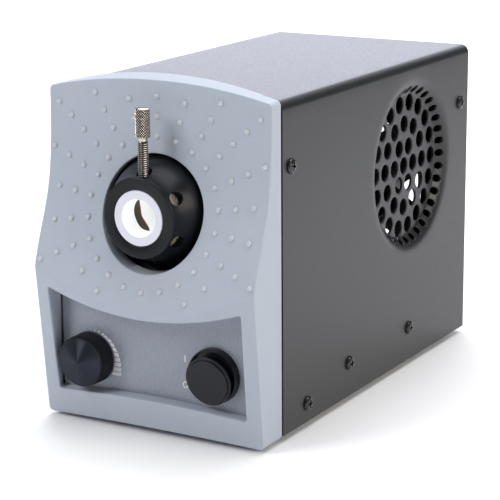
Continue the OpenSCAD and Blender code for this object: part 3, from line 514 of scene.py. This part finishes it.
def dots():
    spoke = 360/22
    rings = {1: 32.1, 2: 40.6, 3: 49.1, 4: 57.6, 5: 66.0}
    groups = [((0.5, -0.5), (1, 2, 3)), ((1.5, -1.5), (1, 2, 3, 4)), ((2.5,), (1, 2, 3, 4, 5)), ((3.5,), (1, 2, 3, 4)),
              ((4.5,), (1, 2, 3)), ((5.5,), (1, 2, 3)), ((-2.5,), (1, 2)), ((-3.5,), (1, 2)), ((-4.5, -5.5), (1,))]
    out = set()
    for ks, rr in groups:
        for k in ks:
            a = k*spoke
            for th in {round(a, 3), round(180 - a, 3)}:
                for q in rr:
                    out.add((round(rings[q]*cos(math.radians(th)), 3), round(axis_z + rings[q]*sin(math.radians(th)), 3)))
    return sorted(out)


DOTS = dots()


def bezel():
    B = Build()
    hole_r, rh, rf, rw = 24.9, 0.55, 0.45, 0.8
    nh = 144
    F, Bk = outline(True), outline(False)
    prof = [(rf*(1 - sin(a)), rf*(1 - cos(a))) for a in np.linspace(0, pi/2, 6)]
    def ring_on(loop2, push=0.0):
        y = -p_front(loop2[:, 0], loop2[:, 1]) + push
        return [(x, yy, z) for (x, z), yy in zip(loop2, y)]
    # outer edge round, side walls, back rim, inner wall
    edge = inset(F, rf)
    y_edge = -p_front(F[:, 0], F[:, 1])
    loops = []
    for d, dy in prof:
        l = inset(F, d)
        y = -p_front(l[:, 0], l[:, 1]) + dy
        loops.append([(x, yy, z) for (x, z), yy in zip(l, y)])
    y0 = y_edge + rf
    back = 0.35
    for s in (0.25, 0.5, 0.75, 1.0):
        l = F + (Bk - F)*s*(1 - 0)
        loops.append([(x, yy + (-back - yy)*s, z) for (x, z), yy in zip(l, y0)])
    l = inset(Bk, back)
    loops.append([(x, 0.0, z) for x, z in l])
    l = inset(Bk, 2.6)
    loops.append([(x, 0.0, z) for x, z in l])
    inner_f = inset(F, 2.6)
    skin = 3.0
    yi = -p_front(inner_f[:, 0], inner_f[:, 1]) + skin
    loops.append([(x, yy*0.5, z) for (x, z), yy in zip((l + inner_f)/2, yi)])
    loops.append([(x, yy, z) for (x, z), yy in zip(inner_f, yi)])
    B.walls(loops)
    # opening for the nose: soft round lip, then a short wall
    loops = []
    for a in np.linspace(0, pi/2, 8):
        r = hole_r + rh*(1 - sin(a))
        l = circle(0, axis_z, r, nh)
        loops.append(ring_on(l, rh*(1 - cos(a))*0.75))
    # rim wall behind it, ending on a sloping plane short of the black flange
    end = lambda z: min(-4.5, -13.0 + (z - 69.5)*0.1707)
    for d, back_off in ((0.0, 0.35), (0.35, 0.0), (1.8, 0.0)):
        l = circle(0, axis_z, hole_r + d, nh)
        loops.append([(x, end(z) - back_off, z) for x, z in l])
    loops.append(ring_on(circle(0, axis_z, hole_r + 1.8, nh), skin))
    B.walls(loops)
    # control window: crisp rounded edge, walls back to the panel
    loops = []
    for a in np.linspace(0, pi/2, 5):
        g = rw*(1 - sin(a))
        l = window(g, drop=0.45)
        loops.append(ring_on(l, rw*(1 - cos(a))))
    Wf, Wb = window(0, drop=0.45), window(0, drop=-0.1, side=1.6)
    yf = -p_front(Wf[:, 0], Wf[:, 1]) + rw
    for s in (0.3, 0.65, 1.0):
        l = Wf + (Wb - Wf)*s
        loops.append([(x, yy + (-13.45 - yy)*s, z) for (x, z), yy in zip(l, yf)])
    Wo = window(2.4, drop=0.45)
    loops.append([(x, -13.45, z) for x, z in Wo])
    B.walls(loops + [ring_on(Wo, skin)])
    # front skin
    rings = [inset(F, rf + 0.12), inset(F, rf + 0.5), circle(0, axis_z, hole_r + rh + 0.12, nh), circle(0, axis_z, hole_r + rh + 0.5, nh),
             window(rw + 0.12, drop=0.45), window(rw + 0.5, drop=0.45)]
    for x, z in DOTS:
        for r, n in ((1.5, 20), (1.3, 20), (1.22, 20), (1.05, 16), (0.75, 12), (0.35, 6)):
            rings.append(circle(x, z, r, n))
    xs = np.linspace(-53.2, 53.2, 72)
    lines = [[(x, z_crease(x) + o) for x in xs] for o in (-1.9, -1.1, -0.6, -0.25, 0, 0.25, 0.6, 1.1, 1.9)]
    gx, gz = np.meshgrid(np.arange(-54, 54.1, 1.8), np.arange(-1, 152, 1.8))
    gx = gx + np.where((np.arange(gx.shape[0]) % 2)[:, None] == 1, 0.9, 0)
    fill = np.stack([gx.ravel(), gz.ravel()], 1)
    co, tri = patch(edge, [circle(0, axis_z, hole_r + rh, nh), window(rw, drop=0.45)], rings, lines, fill, gap=0.75)
    y = -p_front(co[:, 0], co[:, 1])
    D = np.array(DOTS)
    dist = np.sqrt(((co[:, None, :] - D[None])**2).sum(2)).min(1)
    t = np.clip(dist/1.3, 0, 1)
    y = y - 1.1*np.sqrt(np.clip(1 - t**2.2, 0, 1))
    B.add([(a, b, c) for (a, c), b in zip(co, y)], tri)
    # inner skin
    gx, gz = np.meshgrid(np.arange(-52, 52.1, 4), np.arange(2, 148, 4))
    co, tri = patch(inner_f, [circle(0, axis_z, hole_r + 1.8, nh), Wo], (), (), np.stack([gx.ravel(), gz.ravel()], 1), gap=1.5)
    y = -p_front(co[:, 0], co[:, 1]) + skin
    B.add([(a, b, c) for (a, c), b in zip(co, y)], tri)
    ob = piece("moulded_front", B.v, B.f, [M["bezel"], M["dot"]], sharp=50, replaces=["front_bezel"])
    # painted highlight: the tops of the raised dots get a lighter material than the face, in place of the light they
    # catch
    for p in ob.data.polygons:
        x, z = p.center.x/MM, p.center.z/MM - 3.0
        if p.center.y/MM + 84.2 < -p_front(x, z) - 0.3 and np.hypot(D[:, 0] - x, D[:, 1] - z).min() < 1.2:
            p.material_index = 1
    return ob


bezel()

# screw posts behind the moulding
for i, (x, z) in enumerate([(-45, 136), (45, 136), (-40, 5.4), (40, 5.4)]):
    y0 = -4.6 if z > 60 else -13.5
    v, f = lathe([(1.5, -y0), (2.85, -y0), (2.85, 0.2), (2.65, 0), (1.5, 0)], 32, (x, 0, z), (0, -1, 0))
    piece(f"front_post_{i}", v, f, M["bezel"])

# ------------------------------------------------------------------ sheet cover with dished vents
vy, vz = 126.8, 94.4
DISH = [(0, -4.5), (33.0, -4.5), (34, -4.3), (34.8, -3.9), (35.5, -3.3), (36.2, -2.5), (37, -1.75), (38, -1.1), (39.2, -0.55), (40.5, -0.2), (42, -0.04), (44, 0)]
dx = np.array([p[0] for p in DISH]); dy = np.array([p[1] for p in DISH])


def dish(y, z):
    r = np.hypot(y - vy, z - vz)
    return np.where(r < 33.0, -4.5, np.where(r > 44, 0.0, pchip(dx, dy, np.clip(r, 33.0, 44.0))))


def cover():
    B = Build()
    T, Rf, w, h = 1.2, 4.0, 55.0, 144.0
    Ys = np.concatenate([[1.0], np.linspace(1.4, 189.6, 64), [190.0]])
    Zs = np.linspace(0, h - Rf, 48)
    er = 0.3
    loop = [(y, 0.0) for y in Ys] + [(190.0, z) for z in Zs[1:]] + [(y, h - Rf) for y in Ys[::-1][1:]] + [(1.0, z) for z in Zs[::-1][1:-1]]
    loop = np.array(loop)
    big = [(vy, vz)]
    for k in (1, 2, 3):
        for i in range(6*k):
            t = math.radians(i*60/k)
            big.append((vy + 10*k*cos(t), vz + 10*k*sin(t)))
    small = [(vy - 36.2*sin(math.radians(i*10)), vz + 36.2*cos(math.radians(i*10))) for i in range(36)]
    holes = [(c, 3.9, 36) for c in big] + [(c, 1.75, 24) for c in small]
    rd = 0.32
    ring_list = []
    for r in (31.2, 33.0, 33.6, 34.2, 34.8, 35.5, 36.9, 37.7, 38.6, 39.6, 40.8, 42.0, 43.2, 44.2, 46.0):
        ring_list.append(circle(vy, vz, r, 180, t0=0.003))
    # rings pass between the holes only where they are clear of them
    def clear(c, r, n):
        return circle(c[0], c[1], r, n)
    cut_o = [clear(c, r + rd, n) for c, r, n in holes]
    cut_i = [clear(c, r, n) for c, r, n in holes]
    pts_fill = []
    hc = np.array([c for c, r, n in holes]); hr = np.array([r for c, r, n in holes])
    for rg in ring_list:
        d = np.sqrt(((rg[:, None] - hc[None])**2).sum(2)) - hr[None]
        pts_fill.extend(rg[d.min(1) > rd + 0.25])
    gy, gz = np.meshgrid(np.arange(4, 188, 6.0), np.arange(4, 138, 6.0))
    g = np.stack([gy.ravel(), gz.ravel()], 1)
    g = g[np.hypot(g[:, 0] - vy, g[:, 1] - vz) > 47.5]
    gy, gz = np.meshgrid(np.arange(vy - 33, vy + 33, 1.6), np.arange(vz - 33, vz + 33, 1.6))
    g2 = np.stack([gy.ravel(), gz.ravel()], 1)
    g2 = g2[np.hypot(g2[:, 0] - vy, g2[:, 1] - vz) < 31]
    fill = np.concatenate([np.array(pts_fill), g, g2])
    co_o, tri_o = patch(loop, cut_o, (), (), fill, gap=0.35)
    co_i, tri_i = patch(loop, cut_i, (), (), fill, gap=0.45)
    for s in (-1, 1):
        X = lambda y, z, off: s*(w + dish(np.asarray(y), np.asarray(z)) - off)
        x = X(co_o[:, 0], co_o[:, 1], 0)
        B.add([(a, b, c) for a, (b, c) in zip(x, co_o)], tri_o)
        x = X(co_i[:, 0], co_i[:, 1], T)
        B.add([(a, b, c) for a, (b, c) in zip(x, co_i)], tri_i)
        for c, r, n in holes:
            loops = []
            for a in np.linspace(0, pi/2, 4):
                l = circle(c[0], c[1], r + rd*(1 - sin(a)), n)
                xx = X(l[:, 0], l[:, 1], rd*(1 - cos(a)))
                loops.append([(p, q[0], q[1]) for p, q in zip(xx, l)])
            l = circle(c[0], c[1], r, n)
            xx = X(l[:, 0], l[:, 1], T)
            loops.append([(p, q[0], q[1]) for p, q in zip(xx, l)])
            B.walls(loops)
        # rims of this side: bottom, back and front
        def rim(line):
            line = np.array(line)
            a = X(line[:, 0], line[:, 1], 0); b = X(line[:, 0], line[:, 1], T)
            B.walls([[(p, q[0], q[1]) for p, q in zip(a, line)], [(p, q[0], q[1]) for p, q in zip(b, line)]], closed=False)
        rim([(y, 0.0) for y in Ys]); rim([(190.0, z) for z in Zs]); rim([(1.0, z) for z in Zs])
        # fold
        for r in (Rf, Rf - T):
            loops = []
            for a in np.linspace(0, pi/2, 11):
                loops.append([(s*(w - Rf + r*cos(a)), y, h - Rf + r*sin(a)) for y in Ys])
            B.walls(loops, closed=False)
        for y in (1.0, 190.0):
            arc = np.linspace(0, pi/2, 11)
            B.walls([[(s*(w - Rf + Rf*cos(a)), y, h - Rf + Rf*sin(a)) for a in arc], [(s*(w - Rf + (Rf - T)*cos(a)), y, h - Rf + (Rf - T)*sin(a)) for a in arc]], closed=False)
    Xs = np.linspace(-(w - Rf), w - Rf, 30)
    for z in (h, h - T):
        B.walls([[(x, y, z) for y in Ys] for x in Xs], closed=False)
    for y in (1.0, 190.0):
        B.walls([[(x, y, h) for x in Xs], [(x, y, h - T) for x in Xs]], closed=False)
    return piece("sheet_cover", B.v, B.f, M["coat"], sharp=40, replaces=["cover"])


cover()

# ------------------------------------------------------------------ nose
BELL = [(-2.0, 25.0), (0.0, 25.0)]
bell_y = [(2, 25.0), (3, 24.85), (5, 24.3), (7, 23.7), (9.5, 22.95), (11.5, 22.25), (13.2, 21.55), (14.8, 20.75), (16.3, 19.95), (17.7, 19.25), (19, 18.65), (20.3, 18.15), (21.6, 17.75), (22.8, 17.5), (23.6, 17.38)]


def nose():
    prof = [(11.95, -1.0), (28, -1.0), (28, 2.0)] + [(r, y) for y, r in smooth_line(bell_y, 44)]
    prof += [(17.3, 23.85), (17.12, 24.08), (16.9, 24.2), (12.45, 24.2), (12.2, 24.1), (11.95, 23.85)]
    v, f = lathe(prof, 160, (0, 0, axis_z), (0, -1, 0))
    ob = piece("nose_bell", v, f, M["anod"], sharp=28, replaces=["nose_ring"])
    cuts = []
    for a in (30, 150, 210, 270, 330):
        t = math.radians(a)
        v, f = lathe([(0, 12.2), (3.02, 12.2), (3.02, 25), (0, 25)], 48, (0, -19.5, axis_z), (cos(t), 0, sin(t)))
        cuts.append(cutter(v, f))
    v, f = lathe([(0, 9), (2.43, 9), (2.43, 15.5), (3.1, 15.5), (3.1, 17.9), (3.7, 19.2), (3.7, 25), (0, 25)], 48, (0, -19.3, axis_z), (0, 0, 1))
    cuts.append(cutter(v, f))
    boolean(ob, cuts)
    ob.data.set_sharp_from_angle(angle=math.radians(28))
    # painted shade: the walls of the cross holes get a near-black material so they read as shadowed inside
    ob.data.materials.append(M["pit"])
    dirs = [(Vector((cos(math.radians(a)), 0, sin(math.radians(a)))), 3.05, -19.5) for a in (30, 150, 210, 270, 330)]
    dirs.append((Vector((0, 0, 1)), 3.12, -19.3))
    for p in ob.data.polygons:
        c = Vector((p.center.x/MM, p.center.y/MM + 84.2, p.center.z/MM - 3.0 - axis_z))
        for d, r, y in dirs:
            v = c - Vector((0, y, 0))
            h = v.dot(d)
            if h > 12.3 and (v - d*h).length < r:
                p.material_index = 1
    return ob


nose()

# ------------------------------------------------------------------ thumbscrew: knurled head and rolled thread
def thumbscrew():
    B = Build()
    o = (0, -19.3, axis_z)
    z0, L, Rk = 33.6, 12.4, 3.2
    nk = 19
    n, rows = nk*8, 110
    verts, faces = [], []
    prof = []
    for j in range(rows + 1):
        s = j/rows
        z = z0 + 0.35 + (L - 0.75)*s
        prof.append(z)
    def kn(t, z):
        a = (t*nk/tau + (z - z0)/1.12) % 1
        b = (t*nk/tau - (z - z0)/1.12) % 1
        g = min(min(a, 1 - a), min(b, 1 - b))*2
        return min(1.0, g*2.0)
    for z in prof:
        for k in range(n):
            t = tau*k/n
            r = Rk - 0.30 + 0.30*kn(t, z)
            verts.append((r*cos(t), -19.3 + r*sin(t), axis_z + z))
    for j in range(rows):
        for k in range(n):
            k2 = (k + 1) % n
            faces.append((j*n + k, j*n + k2, (j + 1)*n + k2, (j + 1)*n + k))
    B.add(verts, faces)
    ringz = lambda r, z: [(r*cos(tau*k/n), -19.3 + r*sin(tau*k/n), axis_z + z) for k in range(n)]
    low = [verts[k] for k in range(n)]
    high = [verts[rows*n + k] for k in range(n)]
    B.walls([low, ringz(2.75, z0), ringz(2.0, z0)])
    top = z0 + L
    B.walls([high, ringz(2.75, top - 0.12), ringz(2.5, top), ringz(1.2, top + 0.0), ringz(0.5, top), ringz(0.001, top)])
    # thread: a helix on the shank, running out below a smooth neck
    m, pitch, z1 = 48, 0.9, z0 - 1.5
    zs = np.arange(10.9, z1, pitch/10)
    loops = []
    for z in zs:
        lp = []
        for k in range(m):
            t = tau*k/m
            ph = (z/pitch - t/tau) % 1
            tri = 1 - abs(2*ph - 1)
            run = max(0, min(1, (z1 - z)/0.7, (z - 10.6)/0.5))
            r = 1.78 + 0.56*min(1, tri*1.12)*run + 0.18*(1 - run)
            lp.append((r*cos(t), -19.3 + r*sin(t), axis_z + z))
        loops.append(lp)
    rm = lambda r, z: [(r*cos(tau*k/m), -19.3 + r*sin(tau*k/m), axis_z + z) for k in range(m)]
    B.walls([rm(0.83, 11.9), rm(0.83, 10.0), rm(1.55, 10.0), rm(1.85, 10.35)] + loops + [rm(2.0, z1 + 0.05), rm(2.0, z0 - 0.1), rm(2.0, z0)])
    B.walls([rm(0.83, 11.9), rm(0.001, 11.9)])
    ob = piece("knurled_thumbscrew", B.v, B.f, [M["nickel"], M["shank"], M["groove"]], body="clamp_screw", sharp=24, replaces=["thumbscrew"])
    for p in ob.data.polygons:
        h = p.center.z/MM - 3.0 - axis_z
        r = math.hypot(p.center.x/MM, p.center.y/MM + 84.2 + 19.3)
        # painted shade: thread roots and knurl valleys get the near-black material
        if h < z1 - 0.05:
            # thread crests get the lighter nickel copy, which is painted light
            p.material_index = 2 if r < 2.14 else 1
        elif z0 + 0.4 < h < z0 + L - 0.4 and r < Rk - 0.13:
            p.material_index = 2
    return ob


thumbscrew()

# ------------------------------------------------------------------ knob
def knob():
    kx, kz = -33.0, 26.2
    ribs, per = 60, 6
    n = ribs*per
    side = [(11.35, 13.6), (11.6, 13.85)] + [(11.6 - 0.3*s, 13.9 + 8.1*s) for s in np.linspace(0, 1, 7)] + [(11.12, 22.3), (10.98, 22.5)]
    def wob(r, h, t, j):
        k = (t*ribs/tau) % 1
        g = 1 - abs(2*k - 1)
        return r - (0.26*(1 - min(1, g*1.9)) if 1 <= j <= len(side) - 3 else 0)
    inner = [(3.02, 13.6 + 8.0), (3.02, 18.2), (8, 18.2), (8, 13.6)]
    prof = side + [(10.7, 22.58), (10.3, 22.62)]
    cone = [(10.3 - (10.3 - 0.02)*s, 22.62 + 2.55*s) for s in np.linspace(0, 1, 14)][1:]
    v, f = lathe(prof, n, (kx, 0, kz), (0, -1, 0), closed=False, wobble=lambda r, h, t, j: wob(r, h, t, j))
    B = Build(); B.add(v, f)
    m = len(prof)
    v2, f2 = lathe([(8, 13.6), (11.35, 13.6)], n, (kx, 0, kz), (0, -1, 0), closed=False)
    B.add(v2, f2)
    v2, f2 = lathe([(8, 13.6), (8, 18.2), (3.02, 18.2), (3.02, 21.6), (0.001, 21.6)], n, (kx, 0, kz), (0, -1, 0), closed=False)
    B.add(v2, f2)
    face = lathe([(10.3, 22.62)] + cone + [(0.001, 25.18)], n, (kx, 0, kz), (0, -1, 0), closed=False)
    s = len(B.f)
    B.add(*face)
    ob = piece("dimmer_knob", B.v, B.f, [M["knob"], M["spun"]], body="dial", sharp=30, replaces=["dial_knob"])
    for p in ob.data.polygons:
        c = p.center
        if -(c.y/MM + 84.2) > 22.62 and math.hypot(c.x/MM - kx, c.z/MM - 3 - kz) < 10.32:
            p.material_index = 1
    return ob


def spun_face():
    m = mat("knob_spun_face", (0.030, 0.033, 0.044), 0.34, metal=1.0, var=0.08, vscale=500, rvar=0.03, aniso=0.95)
    nt = m.node_tree
    tg = nt.nodes.new("ShaderNodeTangent")
    tg.direction_type, tg.axis = "RADIAL", "Y"
    nt.nodes[m["bsdf"]].inputs["Anisotropic Rotation"].default_value = 0.25
    nt.links.new(tg.outputs[0], nt.nodes[m["bsdf"]].inputs["Tangent"])
    return m


M["spun"] = spun_face()
knob()

# ------------------------------------------------------------------ switch: bezel ring and stepped boot
def switch():
    sx, sz = 30.0, 27.4
    tilt = math.radians(8)
    ax = Vector((0, -cos(tilt), -sin(tilt)))
    steps = rounded([(0.001, 5.9), (9.4, 5.9), (9.6, 6.1), (9.6, 8.0), (11.0, 8.0), (11.0, 8.95), (9.9, 8.95), (9.9, 10.0), (8.6, 10.0), (0.001, 9.82)],
                    [0, 0.1, 0.1, 0.12, 0.22, 0.42, 0.12, 0.45, 0.1, 0], 6)
    v, f = lathe(steps, 128, (sx, -10.5, sz), ax, closed=False)
    piece("switch_cap", v, f, M["rubber"], body="rocker", sharp=34, replaces=["switch_boot"])


switch()

# ------------------------------------------------------------------ printed marks on the panel
def marks():
    B = Build()
    y1, y0 = -13.3, -13.345
    kx, kz = -33.0, 26.2
    def prism(pts):
        v = [(x, y, z) for y in (y0, y1) for x, z in pts]
        B.add(v, [(0, 1, 2, 3), (7, 6, 5, 4), (0, 4, 5, 1), (1, 5, 6, 2), (2, 6, 7, 3), (3, 7, 4, 0)])
    # slices of a tapering band, level near the switch side and turning radial further round
    for k in range(13):
        deg = -27.2 + 9.9*k
        a = math.radians(deg)
        r0 = 12.1
        r1 = float(np.interp(deg, [-27, -17, -7, 3, 13, 23, 33, 43, 52, 70, 120, 217], [16.4, 15.7, 15.2, 14.75, 14.4, 13.95, 13.7, 13.55, 13.15, 12.95, 12.6, 12.35]))
        duty = float(np.interp(deg, [50, 70, 92], [0.68, 0.42, 0.2]))
        hw = 0.5*duty*math.radians(9.9)
        zc = 13.0*sin(a)
        level = min(1, max(0, (58 - deg)/12))
        pts = []
        for r, q in ((r0, -1), (r1, -1), (r1, 1), (r0, 1)):
            radial = (r*cos(a + q*hw), r*sin(a + q*hw))
            h = 13.0*cos(a)*hw + 0.12
            zl = zc + q*h
            flat = (math.sqrt(max(0.1, r*r - zl*zl)), zl)
            pts.append((kx + radial[0]*(1 - level) + flat[0]*level, kz + radial[1]*(1 - level) + flat[1]*level))
        prism(pts)
    piece("dimmer_scale", B.v, B.f, M["print"], tidy=False)
    B = Build()
    v, f = box_mesh(14.8, 15.5, y0, y1, 31.0, 34.1)
    B.add(v, f)
    v, f = lathe([(0.95, 0), (1.5, 0), (1.5, 0.045), (0.95, 0.045)], 40, (15.2, y1, 20.9), (0, -1, 0))
    B.add(v, f)
    piece("switch_marks", B.v, B.f, M["print"], tidy=False)


marks()

def bore_shade():
    """Painted shade: a thin dark sheet on the bore wall in place of the shadowed far side of the bore, with painted
    warm light along its inner edge.
    """
    near = [(134, 15.6), (149, 15.45), (163, 15.3), (172, 15.2), (183, 15.0), (193, 14.8), (206, 14.7), (218, 14.8), (230, 14.9), (239, 14.8), (249, 14.3), (258, 13.5)]
    far = [(134, 14.9), (140, 13.6), (161, 11.0), (176, 9.9), (188, 9.7), (199, 9.75), (208, 9.5), (217, 9.3), (229, 9.5), (241, 10.4), (251, 11.6), (258, 13.2)]
    a = np.linspace(134, 258, 56)
    dn = pchip(np.array([p[0] for p in near], float), np.array([p[1] for p in near], float), a)
    df = pchip(np.array([p[0] for p in far], float), np.array([p[1] for p in far], float), a)
    rows_at = (0, 0.12, 0.35, 0.6, 0.78, 0.9, 1.0)
    B = Build()
    for r in (7.93, 7.99):
        B.walls([[(r*cos(math.radians(t)), -(n + (f - n)*q), axis_z + r*sin(math.radians(t))) for t, n, f in zip(a, dn, df)] for q in rows_at], closed=False)
    ob = piece("bore_shade", B.v, B.f, [M["shade1"], M["shade2"], M["shade3"]], tidy=False)
    k = len(a) - 1
    for i, poly in enumerate(ob.data.polygons):
        q = (i // k) % (len(rows_at) - 1)
        # rows get painted shade (dark and brown), and painted warm light on the inner edge row
        poly.material_index = 2 if q == 5 else 1 if q in (0, 4) else 0


bore_shade()

# ------------------------------------------------------------------ stage, light, camera
def stage():
    me = bpy.data.meshes.new("floor")
    s = 9.0
    me.from_pydata([(-s, -s, 0), (s, -s, 0), (s, s, 0), (-s, s, 0)], [], [(0, 1, 2, 3)])
    ob = bpy.data.objects.new("studio_floor", me)
    bpy.context.scene.collection.objects.link(ob)
    me.materials.append(M["floor"])


def area(name, loc, target, size, power, color=(1, 1, 1), size_y=None):
    l = bpy.data.lights.new(name, "AREA")
    l.energy, l.color, l.size = power, color, size
    if size_y:
        l.shape, l.size_y = "RECTANGLE", size_y
    ob = bpy.data.objects.new(name, l)
    bpy.context.scene.collection.objects.link(ob)
    ob.location = loc
    ob.rotation_euler = (Vector(target) - Vector(loc)).to_track_quat("-Z", "Y").to_euler()
    return ob


stage()
world = bpy.data.worlds.new("studio")
bpy.context.scene.world = world
world.use_nodes = True
bg = world.node_tree.nodes["Background"]
bg.inputs[0].default_value = (0.97, 0.98, 1.0, 1)
bg.inputs[1].default_value = 0.15
area("key_top", (0.15, 0.22, 1.3), (0.0, 0.05, 0.05), 1.1, 15, (0.96, 0.965, 1.0))
area("floor_back", (-0.6, 1.0, 1.6), (-0.55, 0.95, 0), 1.3, 21, (0.96, 0.965, 1.0))
area("left_front", (-0.8, -1.15, 1.05), (0, 0, 0.06), 0.7, 14, (0.97, 0.98, 1.0))
area("side_right", (1.3, -0.15, 0.6), (0, 0, 0.06), 0.8, 9.5, (1.0, 0.95, 0.87))
area("back_low", (-0.75, 1.8, 0.5), (0, 0, 0.1), 1.7, 13, (0.84, 0.86, 1.0), 0.9)


def camera():
    az, el, roll = math.radians(30.064), math.radians(14.195), math.radians(-0.441)
    back = Vector((sin(az)*cos(el), -cos(az)*cos(el), sin(el)))
    right = (-back).cross(Vector((0, 0, 1))).normalized()
    up = right.cross(-back)
    r2 = right*cos(roll) + up*sin(roll)
    u2 = -right*sin(roll) + up*cos(roll)
    cam = bpy.data.cameras.new("photo_camera")
    cam.sensor_width, cam.lens = 36.0, 1870.17*36/500
    cam.sensor_fit = "HORIZONTAL"
    cam.clip_start, cam.clip_end = 0.05, 50
    ob = bpy.data.objects.new("photo_camera", cam)
    bpy.context.scene.collection.objects.link(ob)
    m = Matrix((r2, u2, back)).transposed().to_4x4()
    m.translation = Vector((0.420571, -0.742016, 0.275510))
    ob.matrix_world = m
    bpy.context.scene.camera = ob


camera()
bpy.context.scene.view_settings.view_transform = "Standard"
bpy.context.scene.view_settings.look = "None"
